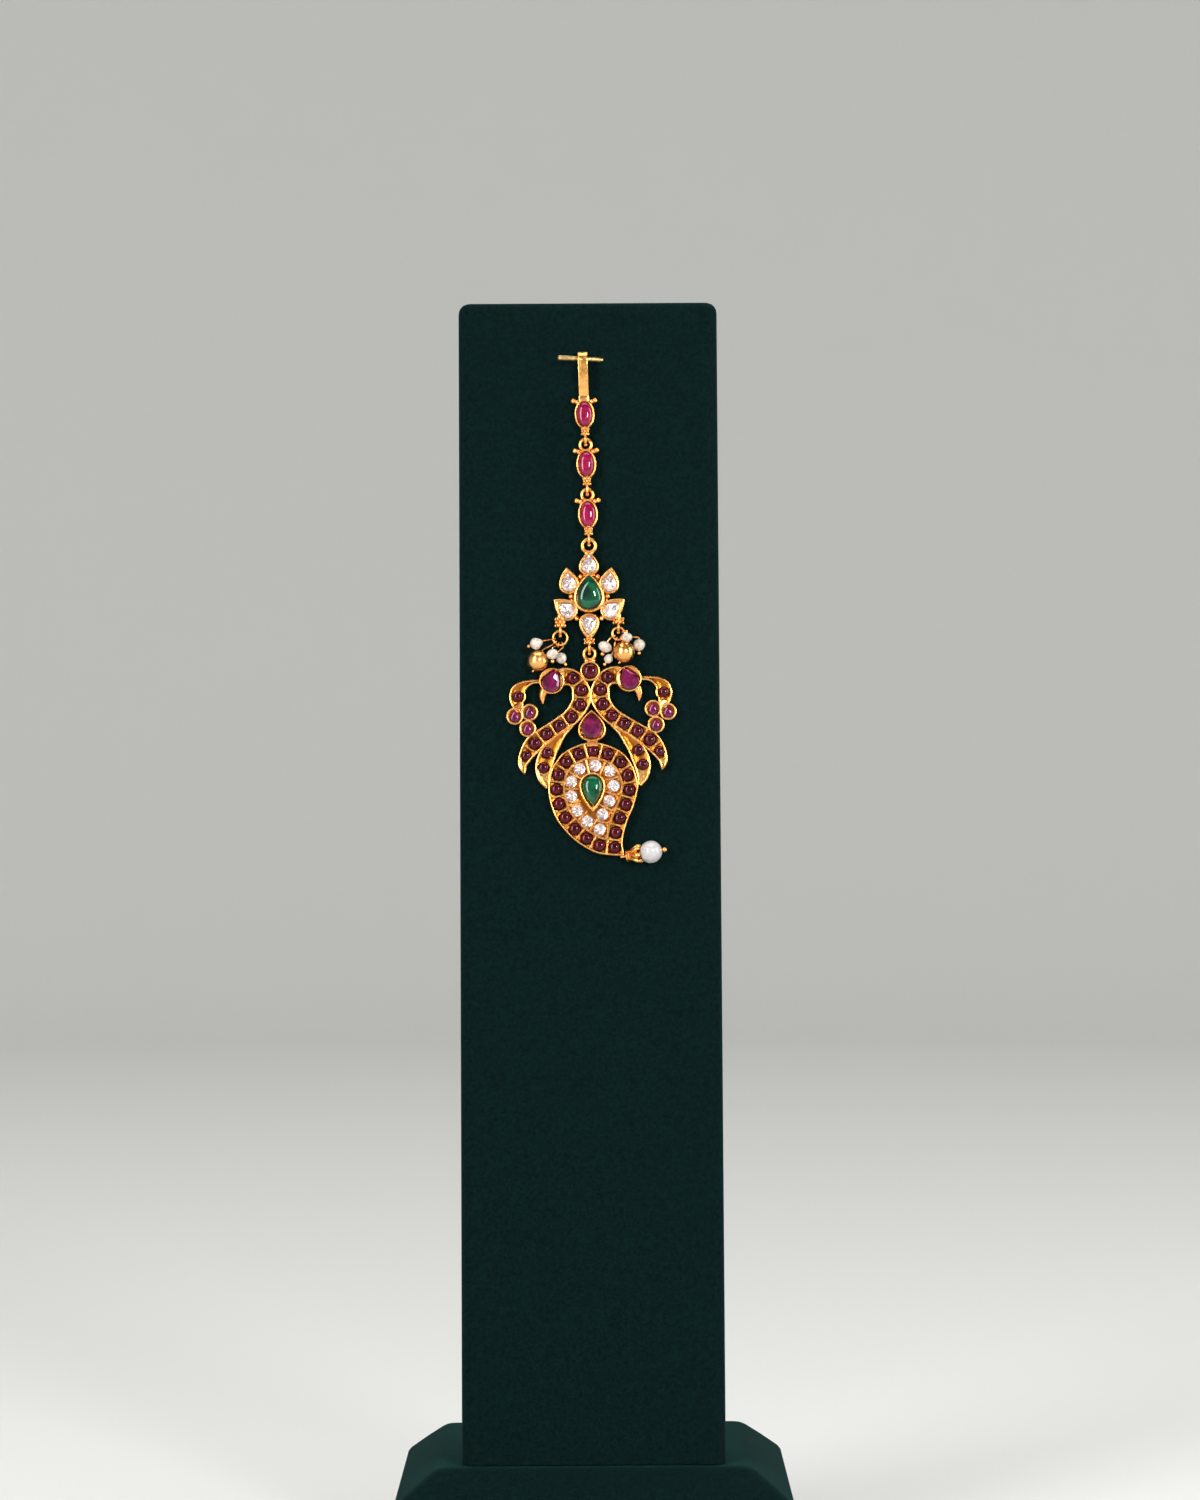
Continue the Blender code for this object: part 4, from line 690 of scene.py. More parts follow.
def add_headpin(mesh, drop, middle, ring_radius):
    """A loop round the jump ring's wire, a shank down through the bead and a ball at its end."""
    hang, turn = radians(drop.hang), radians(drop.at)
    axis = Vector((sin(hang), 0, -cos(hang)))
    outwards = Vector((cos(turn), 0, sin(turn)))
    forwards = Vector((0, -1, 0))
    centre = ring_radius * outwards + in_loops(0, 0)
    radius = JUMP_RING_WIRE + HEADPIN_PLAY + HEADPIN_WIRE
    add_ring(mesh, centre, outwards, forwards, radius, HEADPIN_WIRE, 24, 8)
    above = middle - (drop.along + 2 * HEADPIN_WIRE) * axis
    towards = above - centre
    towards = (towards.dot(outwards) * outwards + towards.dot(forwards) * forwards).normalized()
    end = middle + (drop.along + drop.head) * axis
    start = centre + radius * towards
    bend = smooth_curve([start, (start + above) / 2, above], 4)
    add_tube(mesh, [*bend, middle, end], HEADPIN_WIRE, 8)
    add_ball(mesh, end, drop.head, 14)


def make_cluster(side, loop_down, ring_radius, drops, first, gold, bead_gold, pearl):
    place = ON_FACE @ Matrix.Translation((side * DROP_LOOP_OUT, 0, FLOWER_HEIGHT - loop_down - ring_radius))
    name = "jump_ring_left" if side < 0 else "jump_ring_right"
    mesh = bmesh.new()
    add_front_ring(mesh, 0, ring_radius, JUMP_RING_WIRE)
    piece(f"{name}_gold", mesh, place, gold, "root", "gold", [name])
    for number, drop in enumerate(drops, first):
        middle = Vector((drop.x, -drop.depth, drop.z))
        mesh = bmesh.new()
        add_headpin(mesh, drop, middle, ring_radius)
        piece(f"headpin_{number}_gold", mesh, place, gold, "root", "gold", [f"headpin_{number}"])
        is_ball = drop.name.startswith("gold")
        mesh = bmesh.new()
        add_bead(mesh, drop.across, drop.along, HEADPIN_WIRE + 0.05, 0 if is_ball else 0.2, number * 7.3)
        material, finish = (bead_gold, "gold") if is_ball else (pearl, "pearl")
        turned = place @ Matrix.Translation(middle) @ Matrix.Rotation(-radians(drop.hang), 4, "Y")
        piece(f"{drop.name}_bead", mesh, turned, material, "root", finish, [drop.name])


def bead_gold_material():
    """Smooth polished gold with faint dents."""
    material, shader = make_material("polished gold", GOLD, 0.27, 1)
    add_clouds(shader, "Roughness", (1.2, 3), (0.2,) * 3, (0.33,) * 3)
    add_bump(shader, (1.1, 2), 0.03, 0.6)
    return material


bead_gold = bead_gold_material()
seed_pearl = pearl_material("seed pearl", PEARL_PALE, PEARL_SHADE, 0.7, 0.25)
looks = gold, bead_gold, seed_pearl
make_cluster(-1, LEFT_LOOP_DOWN, LEFT_RING_RADIUS, LEFT_DROPS, 1, *looks)
make_cluster(1, RIGHT_LOOP_DOWN, RIGHT_RING_RADIUS, RIGHT_DROPS, len(LEFT_DROPS) + 1, *looks)


# Peacocks
# The main drop is cut from thick gold and built up with wire: two mirrored peacocks with round dark
# garnets in cells along neck, wing and feather, a flat cut stone in each head and three in each crest.

PENDANT_TILT = radians(1.5)
PENDANT_RING_RADIUS, PENDANT_RING_UP = 1.2, 3.65
BIRD_SPAN, BIRD_DROP = 17.1, 21.2
BAND_WIDTH, FEATHER_WIDTH, CREST_WIDTH = 3.6, 3.6, 3.4
BAND_FRONT, FEATHER_FRONT, CREST_FRONT = 2.05, 1.85, 1.75
RIM, BAR = 0.4, 0.4
FLOOR, DISH = 0.95, 0.2         # depth of the bottoms of the cells, and their rise to the walls
SUNK = FLOOR - 0.1              # where bars and small stones start, a little inside the floor
STONE_BASE = 1.4
PAINTED_SHADE_DEPTH = 1.2                # gold no further out than this gets the darker gold that paints the shade of the cells
BAND_GARNETS, FIRST_GARNET, GARNET_PITCH = 8, 3.05, 3.15
NECK_START, SOLID_TIP = 1.3, 2.6
FEATHER_START, FEATHER_BAR, FEATHER_END = 2.6, 8.3, 11.6
CREST_START, CREST_END = 1.2, 1.5
GARNET_RADIUS, SMALL_GARNET_RADIUS, GARNET_RISE = 1.32, 1.15, 0.95
HEAD_WIDTH, HEAD_HEIGHT, HEAD_FRONT, HEAD_SEAT = 5.3, 5.5, 2.7, 1.9
HEAD_STONE_WIDTH, HEAD_STONE_LENGTH, HEAD_STONE_TURN = 3.5, 4.8, radians(26)
BEAK_DEPTH = 1.5
PLUME_RADIUS, PLUME_WALL, PLUME_FRONT = 1.78, 0.42, 2.15
PLUME_STONE_WIDTH, PLUME_STONE_LENGTH = 1.95, 2.55
TOP_BEZEL_RADIUS, TOP_BEZEL_FRONT, TOP_GARNET_RADIUS = 2.08, 2.5, 1.5
CENTRE_DROP, CENTRE_WIDTH, CENTRE_LENGTH = 11.5, 4.15, 4.95
CENTRE_WALL, CENTRE_FRONT, CENTRE_SEAT = 0.8, 2.6, 1.5
GARNET_DEEP = (0.016, 0.0002, 0.0006)
GARNET_BRIGHT = (0.075, 0.0005, 0.0035)
GARNET_GLOSS = (0.85, 0.50, 0.60)
PLUM_DEEP = (0.040, 0.0006, 0.016)
PLUM_BRIGHT = (0.17, 0.002, 0.056)
PLUM_GLOSS = (1.0, 0.70, 0.90)

Station = namedtuple("Station", "out down half")
BAND = [Station(*row) for row in (
    (0.385, 0.065, 0.50), (0.325, 0.045, 0.52), (0.215, 0.062, 0.49), (0.137, 0.137, 0.49),
    (0.111, 0.231, 0.57), (0.137, 0.328, 0.53), (0.245, 0.445, 0.49), (0.402, 0.532, 0.47),
    (0.561, 0.610, 0.47), (0.710, 0.700, 0.53), (0.820, 0.820, 0.40), (0.861, 0.915, 0.24),
    (0.839, 0.998, 0.03),
)]
FEATHER = [Station(*row) for row in (
    (0.240, 0.530, 0.10), (0.360, 0.615, 0.20), (0.450, 0.700, 0.34), (0.540, 0.795, 0.48),
    (0.600, 0.925, 0.50), (0.605, 1.040, 0.36), (0.560, 1.140, 0.12),
)]
CREST = [Station(*row) for row in (
    (0.590, 0.085, 0.11), (0.715, 0.088, 0.13), (0.815, 0.120, 0.28), (0.880, 0.170, 0.45),
    (0.897, 0.235, 0.52), (0.900, 0.295, 0.40), (0.870, 0.378, 0.22),
)]
BEAK = [Spot(0.570, 0.175), Spot(0.592, 0.235), Spot(0.588, 0.308)]
FEATHER_GARNETS = [Spot(0.558, 0.793), Spot(0.608, 0.940)]
CREST_GARNET = Spot(0.894, 0.226)
PLUMES = [Spot(0.755, 0.390), Spot(0.938, 0.424), Spot(0.785, 0.550)]
HEAD = Spot(0.472, 0.088)


def distances_along(curve):
    run = [0.0]
    for start, end in zip(curve, curve[1:]):
        run.append(run[-1] + hypot(end.x - start.x, end.y - start.y))
    return run


def point_along(curve, run, distance):
    """The point at a distance along a curve, and the curve's direction there."""
    last = len(curve) - 2
    index = next((i for i in range(last) if run[i + 1] > distance), last)
    start, end = curve[index], curve[index + 1]
    share = (distance - run[index]) / (run[index + 1] - run[index])
    return start + share * (end - start), (end - start).to_2d().normalized()


def spread_along(curve, count, first=0.0, last=None):
    run = distances_along(curve)
    last = run[-1] if last is None else last
    step = (last - first) / (count - 1)
    return [point_along(curve, run, first + i * step) for i in range(count)]


def ribbon(path, inset=0.0, first=0.0, last=None, sections=56):
    """The outline of a band that follows a path of (x, z, half width), narrowed by the inset."""
    sides = ([], [])
    for station, direction in spread_along(path, sections, first, last):
        half = max(station.z - inset, 0.06)
        across = half * right_of(direction)
        sides[0].append(station.to_2d() + across)
        sides[1].append(station.to_2d() - across)
    return sides[0] + sides[1][::-1]


def on_side(points, side):
    """Points of the right-hand bird, or the same ones mirrored to the left."""
    return [Vector((side * point.x, point.y)) for point in points]


def bird_spot(spot):
    return Vector((spot.out * BIRD_SPAN, -spot.down * BIRD_DROP))


def bird_path(stations, width):
    return smooth_curve([Vector((*bird_spot(station), station.half * width)) for station in stations], 12)


def blend(outer, inner, share):
    return [a + share * (b - a) for a, b in zip(outer, inner)]


def tray_rows(path, front, first, last):
    """A raised wire edge round a flat band, dished where it is solid and open down to its cells' floor."""
    outer, inner = ribbon(path), ribbon(path, RIM, first, last)
    rows = [at(outer, BACK), at(outer, front - 0.4 * RIM)]
    for share, drop in ((0.1, 0.12), (0.35, 0.0), (0.7, 0.0), (0.92, 0.12)):
        rows.append(at(ribbon(path, share * RIM), front - drop * RIM))
    rows += [at(ribbon(path, RIM), front - 0.45), at(inner, front - 0.5), at(inner, FLOOR + DISH)]
    rows.append(at(ribbon(path, RIM + 0.5, first + 0.3, last - 0.3), FLOOR))
    return rows


def add_bar(mesh, middle, direction, length, front, width=BAR, floor=SUNK):
    """A thin wire partition with a rounded top, across a channel that runs in the direction."""
    across, along = length / 2 * right_of(direction), width / 2 * direction
    rows = []
    for share, depth in ((1.0, floor), (1.0, front - 0.1), (0.75, front - 0.02), (0.4, front)):
        corners = [(1, share), (1, -share), (-1, -share), (-1, share)]
        rows.append(at([middle + x * across + z * along for x, z in corners], depth))
    add_skin(mesh, rows)


def head_edge(grow):
    width, length = HEAD_STONE_WIDTH + 2 * grow, HEAD_STONE_LENGTH + 2 * grow
    return pear(width, length, 48, HEAD_STONE_TURN, bird_spot(HEAD))


def add_bird(mesh, side):
    """One peacock's gold: band, feather, crest, beak, head box and the three plume bezels."""
    band, feather = bird_path(BAND, BAND_WIDTH), bird_path(FEATHER, FEATHER_WIDTH)
    crest = bird_path(CREST, CREST_WIDTH)
    for path, front, first, last in (
        (band, BAND_FRONT, NECK_START, distances_along(band)[-1] - SOLID_TIP),
        (feather, FEATHER_FRONT, FEATHER_START, FEATHER_END),
        (crest, CREST_FRONT, CREST_START, distances_along(crest)[-1] - CREST_END),
    ):
        rows = tray_rows(path, front, first, last)
        add_skin(mesh, [[Vector((side * p.x, p.y, p.z)) for p in row] for row in rows])
    bars = [(band, FIRST_GARNET + (i - 0.5) * GARNET_PITCH, BAND_FRONT) for i in range(1, BAND_GARNETS)]
    for path, distance, front in [*bars, (feather, FEATHER_BAR, FEATHER_FRONT)]:
        middle, direction = point_along(path, distances_along(path), distance)
        add_bar(mesh, *on_side((middle, direction), side), 2 * middle.z - RIM, front - 0.08)
    outer = on_side(oval(HEAD_WIDTH, HEAD_HEIGHT, 48, bird_spot(HEAD)), side)
    stone = on_side(head_edge(FIT), side)
    turned = min(range(48), key=lambda i: (outer[0] - stone[i]).length)
    stone = stone[turned:] + stone[:turned]
    add_cup(mesh, outer, stone, HEAD_FRONT, HEAD_SEAT)
    beak = smooth_curve(at(on_side(map(bird_spot, BEAK), side), BEAK_DEPTH), 6)
    radii = [0.82 * (1 - (i / (len(beak) - 1)) ** 2.2) + 0.1 for i in range(len(beak))]
    add_tube(mesh, beak, radii, 14)
    for middle in on_side(map(bird_spot, PLUMES), side):
        wall = PLUME_WALL
        add_bezel(mesh, lambda grow: disc(PLUME_RADIUS - wall + grow, 40, middle), wall, PLUME_FRONT, FLOOR)


def add_cup(mesh, outer, inner, front, seat, dish=0.2):
    """A box with a rounded edge whose top slopes in to a stone's seat."""
    middle = middle_of(outer)
    rim = [p - 0.34 * (p - middle).normalized() for p in outer]
    rows = [(outer, BACK), (outer, front - 0.16), (blend(outer, rim, 0.15), front - 0.05)]
    rows += [(blend(outer, rim, 0.4), front), (blend(outer, rim, 0.75), front), (rim, front - 0.1)]
    rows += [(blend(rim, inner, 0.25), front - dish), (blend(rim, inner, 0.8), front - dish - 0.3)]
    rows += [(inner, front - dish - 0.5), (inner, seat - 0.3)]
    add_skin(mesh, [at(*row) for row in rows])


def band_stones():
    """Outlines of the small garnets of the right-hand peacock."""
    band = bird_path(BAND, BAND_WIDTH)
    run = distances_along(band)
    for index in range(BAND_GARNETS):
        middle, _ = point_along(band, run, FIRST_GARNET + index * GARNET_PITCH)
        yield disc(GARNET_RADIUS if index < BAND_GARNETS - 1 else SMALL_GARNET_RADIUS, 28, middle.to_2d())
    for spot in FEATHER_GARNETS:
        yield disc(GARNET_RADIUS * 0.95, 28, bird_spot(spot))
    yield disc(SMALL_GARNET_RADIUS, 28, bird_spot(CREST_GARNET))


def centre_edge(grow):
    return pear(CENTRE_WIDTH + 2 * grow, CENTRE_LENGTH + 2 * grow, 64, 0, (0, -CENTRE_DROP))


# Mango
# Below the birds hangs a mango: a ring of round garnets in cells, a ring of white stones inside it and
# a green pear in a high bezel in the middle. Its tip turns right and carries a large pearl in a petal cap.

MANGO_WIDTH, MANGO_HEIGHT, MANGO_TOP_DROP, MANGO_FRONT = 19.0, 24.1, 14.9, 2.25
MANGO_SIDES = 180
MANGO_GARNETS = 18
INNER_RIM, INNER_RIM_WIDTH = 3.3, 0.54
WHITE_RADIUS = 1.37
WHITE_BAR = 3.0
MANGO_GREEN_WIDTH, MANGO_GREEN_LENGTH = 3.85, 6.1
MANGO_GREEN_POINT = 0.7
MANGO_GREEN_WALL, MANGO_GREEN_FRONT, MANGO_GREEN_SEAT = 0.72, 2.9, 1.7

Edge = namedtuple("Edge", "x down")
MANGO = [Edge(*row) for row in (
    (0.314, 1.000), (0.108, 0.984), (-0.030, 0.953), (-0.214, 0.858), (-0.343, 0.750),
    (-0.436, 0.638), (-0.500, 0.455), (-0.484, 0.282), (-0.412, 0.165), (-0.281, 0.064),
    (0.000, 0.000), (0.294, 0.080), (0.429, 0.210), (0.487, 0.370), (0.475, 0.455),
    (0.427, 0.579), (0.366, 0.681), (0.319, 0.790), (0.298, 0.890), (0.314, 1.000),
)]
MANGO_GREEN_PLACE = Edge(-0.016, 0.424)
WHITES = [Edge(*row) for row in (
    (0.026, 0.204), (0.181, 0.257), (0.218, 0.386), (0.165, 0.515), (0.086, 0.631),
    (0.050, 0.759), (-0.084, 0.689), (-0.191, 0.593), (-0.249, 0.465), (-0.244, 0.339),
    (-0.150, 0.231),
)]


def inset_loop(loop, distance):
    """A loop with one corner, moved inwards: both flanks run on until they cross at the new corner."""
    if distance <= 0:
        return loop
    shifted = []
    for index, point in enumerate(loop):
        before = loop[max(index - 1, 0)]
        after = loop[min(index + 1, len(loop) - 1)]
        shifted.append(point + distance * right_of((after - before).normalized()))
    for start in range(len(shifted) // 3):
        for end in range(len(shifted) - 2, 2 * len(shifted) // 3, -1):
            corner = intersect_line_line_2d(*shifted[start:start + 2], *shifted[end:end + 2])
            if corner:
                return [corner, *shifted[start + 1:end + 1], corner.copy()]
    return shifted


def mango_loop():
    return smooth_curve([mango_spot(edge) for edge in MANGO], 10)


def mango_edge(inset):
    return [point for point, _ in spread_along(inset_loop(mango_loop(), inset), MANGO_SIDES + 1)[:-1]]


def add_mango(mesh):
    """The mango's wall, the channel for its garnets, the inner rim and the floor for the white stones."""
    front, inner, half = MANGO_FRONT, INNER_RIM, INNER_RIM_WIDTH / 2
    profile = [(0.0, BACK), (0.0, front - 0.25), (0.04, front - 0.08), (0.14, front), (0.26, front)]
    profile += [(0.36, front - 0.08), (0.42, front - 0.3), (0.45, FLOOR + DISH), (1.0, FLOOR)]
    profile += [(inner - 0.7, FLOOR), (inner - half, FLOOR + DISH), (inner - half, front - 0.1)]
    profile += [(inner - 0.7 * half, front), (inner + 0.7 * half, front), (inner + half, front - 0.1)]
    profile += [(inner + half, FLOOR + DISH), (inner + 0.7, FLOOR)]
    add_skin(mesh, [at(mango_edge(inset), depth) for inset, depth in profile])


def garnet_cells():
    """Places at even distances round the mango, the first in its tip, with a bar between each two."""
    path = inset_loop(mango_loop(), (RIM + INNER_RIM - BAR / 2) / 2)
    run = distances_along(path)
    pitch = run[-1] / MANGO_GARNETS
    for index in range(MANGO_GARNETS):
        middle, _ = point_along(path, run, index * pitch)
        between, direction = point_along(path, run, (index + 0.5) * pitch)
        yield middle, between, direction


def mango_spot(edge):
    return Vector((edge.x * MANGO_WIDTH, -MANGO_TOP_DROP - edge.down * MANGO_HEIGHT))


def white_bars():
    """Places and directions of the bars between each two white stones."""
    spots = [mango_spot(edge) for edge in WHITES]
    for spot, after in zip(spots, spots[1:] + spots[:1]):
        yield (spot + after) / 2, (after - spot).normalized()


def mango_green_edge(grow):
    point = MANGO_GREEN_POINT * grow / MANGO_GREEN_WALL
    centre = mango_spot(MANGO_GREEN_PLACE) + Vector((0, -point / 2))
    return pear(MANGO_GREEN_WIDTH + 2 * grow, MANGO_GREEN_LENGTH + 2 * grow + point, 64, pi, centre)


TIP_DEPTH, TIP_TURN, TIP_OUT = 1.45, radians(7), radians(13)
TIP_WIRE, TIP_BALL = 0.3, 0.55
TIP_CAP_START = 0.35
TIP_PEARL_RADIUS, TIP_PEARL_PLACE = 2.35, 5.7
CAP_PROFILE = [(0.4, 0.0), (0.9, 0.02), (1.25, 0.12), (1.3, 0.3), (1.12, 0.45), (1.28, 0.62), (1.3, 0.8)]
CAP_PROFILE += [(1.05, 1.0), (0.85, 1.15), (0.95, 1.5), (1.2, 2.0), (1.35, 2.5), (1.2, 2.7), (0.4, 2.6)]
CAP_PETALS = 7
CAP_PETAL = [(0.8, 1.0), (1.0, 1.5), (1.35, 2.1), (1.62, 2.7), (1.6, 3.1)]
CAP_GRANULE = 0.36
BIG_PEARL_PALE = (0.46, 0.44, 0.44)
BIG_PEARL_SHADE = (0.38, 0.36, 0.36)


def tip_line():
    tip = Vector((MANGO[0].x * MANGO_WIDTH, -TIP_DEPTH, -MANGO_TOP_DROP - MANGO_HEIGHT))
    return tip, Vector((cos(TIP_TURN) * cos(TIP_OUT), -sin(TIP_OUT), sin(TIP_TURN) * cos(TIP_OUT)))


def make_pendant_gold(place, gold, cell_painted_shade_gold):
    mesh = bmesh.new()
    for side in (-1, 1):
        add_bird(mesh, side)
    add_mango(mesh)
    for _, between, direction in garnet_cells():
        add_bar(mesh, between, direction, INNER_RIM - RIM / 2, MANGO_FRONT - 0.05)
    for between, direction in white_bars():
        add_bar(mesh, between, direction, WHITE_BAR, MANGO_FRONT - 0.05)
    add_bezel(mesh, mango_green_edge, MANGO_GREEN_WALL, MANGO_GREEN_FRONT, MANGO_GREEN_SEAT, SUNK)
    wall = TOP_BEZEL_RADIUS - TOP_GARNET_RADIUS
    add_bezel(mesh, lambda grow: disc(TOP_GARNET_RADIUS + grow, 48), wall, TOP_BEZEL_FRONT, 1.6)
    add_bezel(mesh, centre_edge, CENTRE_WALL, CENTRE_FRONT, CENTRE_SEAT)
    add_front_ring(mesh, PENDANT_RING_UP, PENDANT_RING_RADIUS, LINK_WIRE)
    for side in (-1, 1):
        add_ball(mesh, Vector((side * 0.75, -LOOP_DEPTH - 0.2, PENDANT_RING_UP - 1.45)), 0.55)
    upright = Vector((0, 1))
    add_bar(mesh, Vector((0, -CENTRE_DROP - CENTRE_LENGTH / 2 - 1.0)), upright, 2.2, BAND_FRONT, 1.6, BACK)
    tip, outwards = tip_line()
    end = tip + (TIP_PEARL_PLACE + TIP_PEARL_RADIUS + TIP_BALL) * outwards
    add_tube(mesh, [tip - 0.8 * outwards, tip + 3 * outwards, end], TIP_WIRE, 12)
    add_ball(mesh, end, TIP_BALL, 20)
    piece("pendant_gold", mesh, place, gold, "pendant", "gold", ["pendant_frame"], deep=[cell_painted_shade_gold])


def make_small_stones(place, garnet, plum, white):
    mesh = bmesh.new()
    outlines = [on_side(outline, side) for outline in band_stones() for side in (1, -1)]
    outlines += [disc(GARNET_RADIUS, 28, middle) for middle, _, _ in garnet_cells()]
    for outline in outlines:
        add_cabochon(mesh, outline, SUNK, STONE_BASE - 0.1, GARNET_RISE)
    piece("pendant_garnets", mesh, place, garnet, "pendant", "garnet")
    mesh = bmesh.new()
    for spot in PLUMES:
        outline = pear(PLUME_STONE_WIDTH, PLUME_STONE_LENGTH, 32, 0, bird_spot(spot))
        for side in (1, -1):
            add_cabochon(mesh, on_side(outline, side), SUNK, STONE_BASE + 0.3, 0.4)
    piece("plume_stones", mesh, place, plum, "pendant", "ruby")
    mesh = bmesh.new()
    for middle in map(mango_spot, WHITES):
        add_facets(mesh, disc(WHITE_RADIUS, 32, middle), SUNK, STONE_BASE + 0.38, 0.26, 8, 0.86, 0.2)
    piece("mango_whites", mesh, place, white, "pendant", "white_stone", crease=0)


def add_rose_cut(mesh, outline, seat, girdle, height, turn):
    """A flat cut stone whose facets meet in a ridge along its length."""
    middle = middle_of(outline)
    count = 10
    points = [outline[round(i * len(outline) / count)] for i in range(count)]
    crown = [middle + 0.72 * (p - middle) for p in points]
    ridge = [middle + share * Vector((-sin(turn), cos(turn))) for share in (0.75, -0.35)]
    levels = [(points, seat), (points, girdle), (crown, girdle + 0.7 * height), (ridge, girdle + height)]
    base, edge, crown, (tip, tail) = [[mesh.verts.new(p) for p in at(*level)] for level in levels]
    add_band(mesh, base, edge)
    add_band(mesh, edge, crown)
    mesh.faces.new(base)
    for i in range(count):
        end = tip if i in (0, 1, count - 2, count - 1) else tail
        mesh.faces.new((crown[i], crown[(i + 1) % count], end))
    mesh.faces.new((crown[2], tail, tip))
    mesh.faces.new((crown[count - 2], tip, tail))


def make_main_stones(place, garnet, plum, green):
    mesh = bmesh.new()
    add_cabochon(mesh, disc(TOP_GARNET_RADIUS, 40), 1.6, TOP_BEZEL_FRONT - 0.35, 0.8)
    piece("top_garnet_stone", mesh, place, garnet, "pendant", "garnet", ["top_garnet"])
    mesh = bmesh.new()
    add_rose_cut(mesh, centre_edge(0), CENTRE_SEAT, CENTRE_FRONT - 0.35, 0.6, 0)
    piece("centre_ruby_stone", mesh, place, plum, "pendant", "ruby", ["centre_ruby"], 0)
    mesh = bmesh.new()
    add_cabochon(mesh, mango_green_edge(0), MANGO_GREEN_SEAT, MANGO_GREEN_FRONT - 0.3, 0.95)
    piece("mango_green_stone", mesh, place, green, "pendant", "green_stone", ["mango_green"])
    for side, node in ((1, "head_stone_right"), (-1, "head_stone_left")):
        outline = on_side(head_edge(0), side)
        mesh = bmesh.new()
        add_rose_cut(mesh, outline, HEAD_SEAT, HEAD_FRONT - 0.3, 0.45, side * HEAD_STONE_TURN)
        piece(f"{node}_cut", mesh, place, plum, "pendant", "ruby", [node], 0)


def make_tip(place, gold, pearl):
    """A collar and seven petals with a granule at each tip, which clasp the pearl."""
    tip, outwards = tip_line()
    turned = Vector((0, 0, 1)).rotation_difference(outwards).to_matrix().to_4x4()
    mesh = bmesh.new()
    along = TIP_CAP_START
    rows = [[Vector((r * cos(a), r * sin(a), along + h)) for a in turns(36)] for r, h in CAP_PROFILE]
    add_skin(mesh, rows)
    for index in range(CAP_PETALS):
        angle = 2 * pi * (index + 0.25) / CAP_PETALS
        out = Vector((cos(angle), sin(angle), 0))
        path = smooth_curve([out * r + Vector((0, 0, along + h)) for r, h in CAP_PETAL], 3)
        add_tube(mesh, path, [0.3 + 0.22 * sin(pi * i / 12) for i in range(13)], 12)
        add_ball(mesh, out * 1.62 + Vector((0, 0, along + 3.05)), CAP_GRANULE, 12)
    at_tip = place @ Matrix.Translation(tip) @ turned
    piece("tip_cap_petals", mesh, at_tip, gold, "pendant", "gold", ["tip_cap"])
    mesh = bmesh.new()
    add_bead(mesh, TIP_PEARL_RADIUS, TIP_PEARL_RADIUS, TIP_WIRE + 0.05, 0.03, 3.1, 56, 32)
    at_pearl = place @ Matrix.Translation(tip + TIP_PEARL_PLACE * outwards) @ turned
    piece("tip_pearl_bead", mesh, at_pearl, pearl, "pendant", "pearl", ["tip_pearl"])


# The darker gold of the cells paints the shade on their floors.
cell_painted_shade_gold, cell_painted_shade_shader = make_material("deep gold of the cells", CELL_PAINTED_SHADE_GOLD, 0.3, 1)
add_bump(cell_painted_shade_shader, (0.6, 2), 0.05)
garnet = stone_material("dark garnet", GARNET_DEEP, GARNET_BRIGHT, GARNET_GLOSS, 0.03, 1.2, 1.5)
plum = stone_material("plum ruby", PLUM_DEEP, PLUM_BRIGHT, PLUM_GLOSS, 0.05, 1.4)
big_pearl = pearl_material("large pearl", BIG_PEARL_PALE, BIG_PEARL_SHADE, 1.6, 0.3)
hung_at = Matrix.Translation((0, -SWING_DEPTH, SWING_HEIGHT))
from_ring = Matrix.Translation((0, SWING_DEPTH, -PENDANT_RING_UP - PENDANT_RING_RADIUS))
ON_PENDANT = ON_FACE @ hung_at @ Matrix.Rotation(-PENDANT_TILT, 4, "Y") @ from_ring
make_pendant_gold(ON_PENDANT, gold, cell_painted_shade_gold)
make_small_stones(ON_PENDANT, garnet, plum, white)
make_main_stones(ON_PENDANT, garnet, plum, green)
make_tip(ON_PENDANT, gold, big_pearl)


# Floor, light and camera
# A plain pale floor turns up into a plain wall all round. Tall soft lights stand to the left and right
# of a camera at the photograph's place, and a large one hangs above.

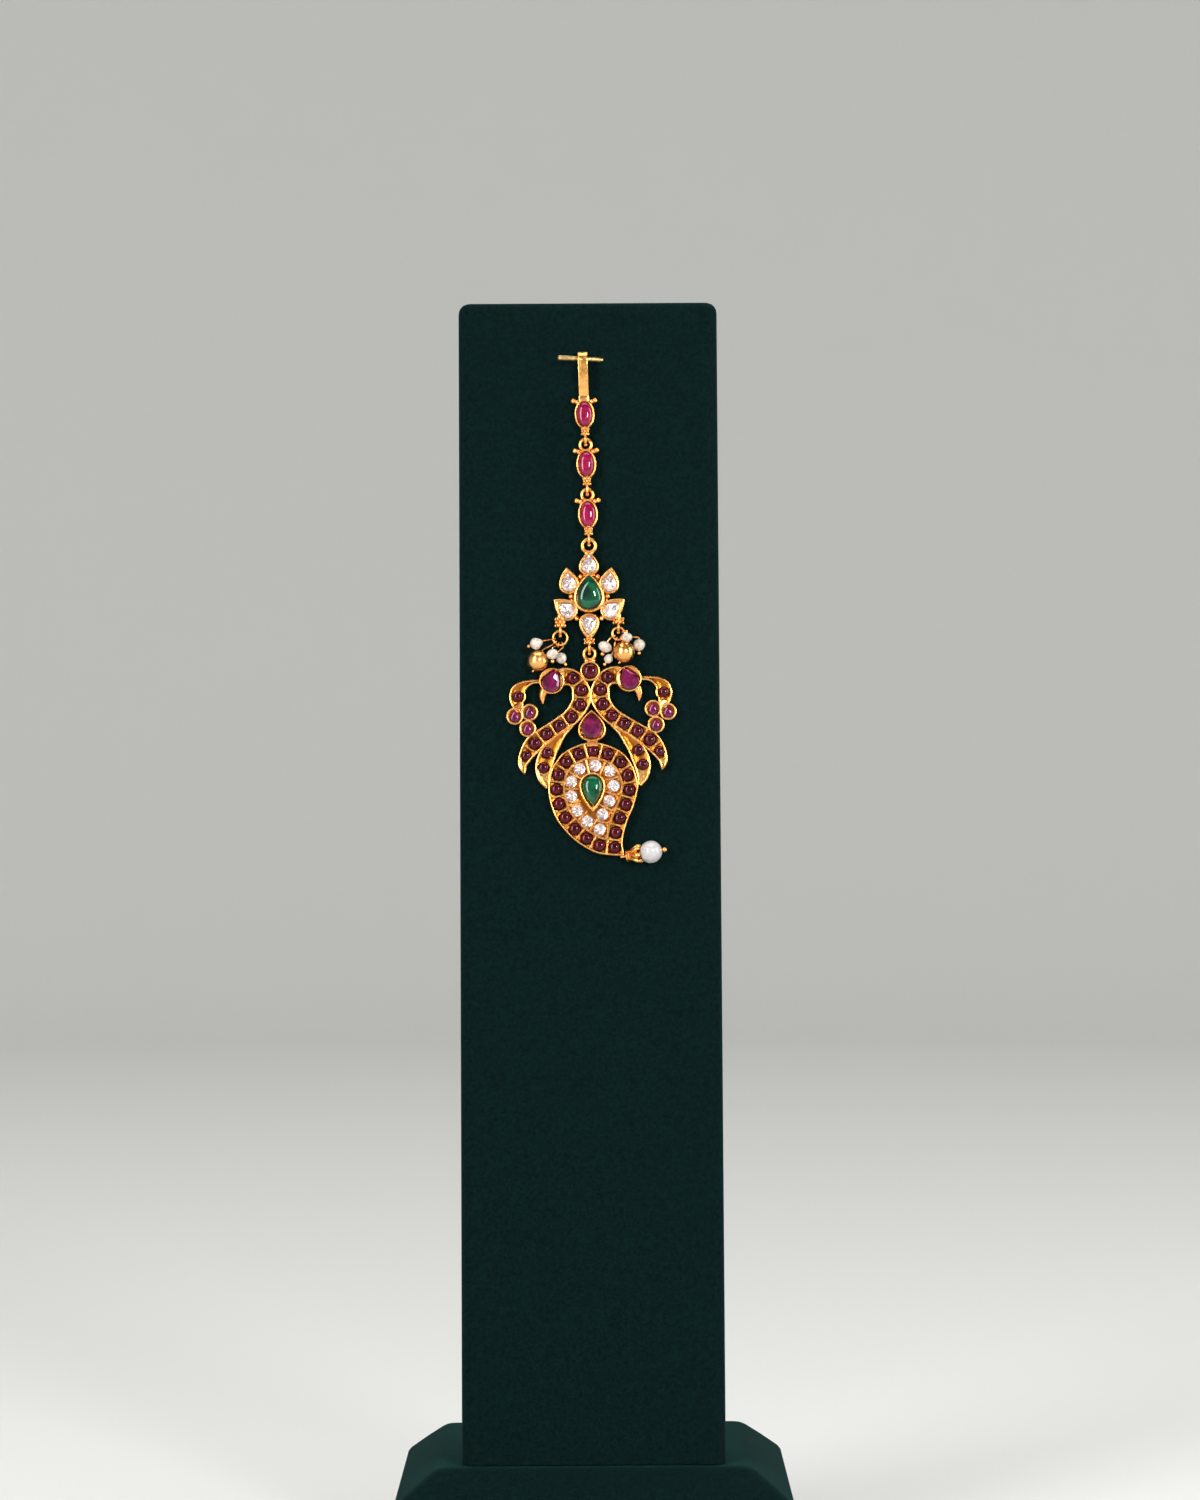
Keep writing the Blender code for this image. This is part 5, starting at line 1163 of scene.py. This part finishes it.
FLOOR_FLAT, FLOOR_RADIUS, WALL_HEIGHT = 1.7, 2.6, 2.7
FLOOR_COLOUR = (0.62, 0.62, 0.60)
CAMERA_PLACE = (0.0021, -0.965, 0.16985)
CAMERA_ROLL = radians(0.33)
CAMERA_LENS, SENSOR_WIDTH = 108.6, 36
AIM = Vector((0, 0, 0.17))      # the point that the side lights and the one above are turned to
SKY_COLOUR, SKY_STRENGTH = (0.9, 0.95, 1.0), 0.10
LIGHTS = [                      # name, place, width, height and power
    ("large_left", (-0.62, -0.85, 0.48), 0.34, 0.9, 10),
    ("small_right", (0.40, -0.95, 0.42), 0.15, 0.26, 5),
    ("far_right", (0.95, -0.25, 0.40), 0.2, 0.8, 6),
    ("above", (0, 0, 2.5), 2.4, 2.4, 55),
]


def make_floor():
    """A round floor whose edge turns up into a wall on every side."""
    mesh = bmesh.new()
    bend = FLOOR_RADIUS - FLOOR_FLAT
    profile = [(FLOOR_FLAT, 0.0)]
    for step in range(1, 17):
        angle = pi / 2 * step / 16
        profile.append((FLOOR_FLAT + bend * sin(angle), bend * (1 - cos(angle))))
    profile.append((FLOOR_RADIUS, WALL_HEIGHT))
    rows = [[mesh.verts.new((r * cos(a), r * sin(a), z)) for a in turns(96)] for r, z in profile]
    mesh.faces.new(rows[0])
    for near, far in zip(rows, rows[1:]):
        add_band(mesh, near, far)
    material, _ = make_material("pale floor", FLOOR_COLOUR, 0.85)
    item = make_object("floor", mesh, material)
    item.data.shade_smooth()


def add_light(name, place, width, height, power):
    """A soft rectangular light turned to the jewel."""
    light = bpy.data.lights.new(name, "AREA")
    light.shape = "RECTANGLE"
    light.size, light.size_y = width, height
    light.energy = power
    item = add_to_scene(name, light)
    item.location = place
    item.rotation_euler = (AIM - Vector(place)).to_track_quat("-Z", "Y").to_euler()


def make_world():
    world = bpy.data.worlds.new("studio")
    world.use_nodes = True
    sky = world.node_tree.nodes["Background"]
    sky.inputs["Color"].default_value = (*SKY_COLOUR, 1)
    sky.inputs["Strength"].default_value = SKY_STRENGTH
    bpy.context.scene.world = world


def make_camera():
    camera = bpy.data.cameras.new("camera")
    camera.lens = CAMERA_LENS
    camera.sensor_width = SENSOR_WIDTH
    camera.clip_start, camera.clip_end = 0.01, 20
    item = add_to_scene("camera", camera)
    item.location = CAMERA_PLACE
    item.rotation_euler = (pi / 2, CAMERA_ROLL, 0)
    bpy.context.scene.camera = item


bpy.context.scene.view_settings.view_transform = "Standard"
make_floor()
for light in LIGHTS:
    add_light(*light)
make_world()
make_camera()
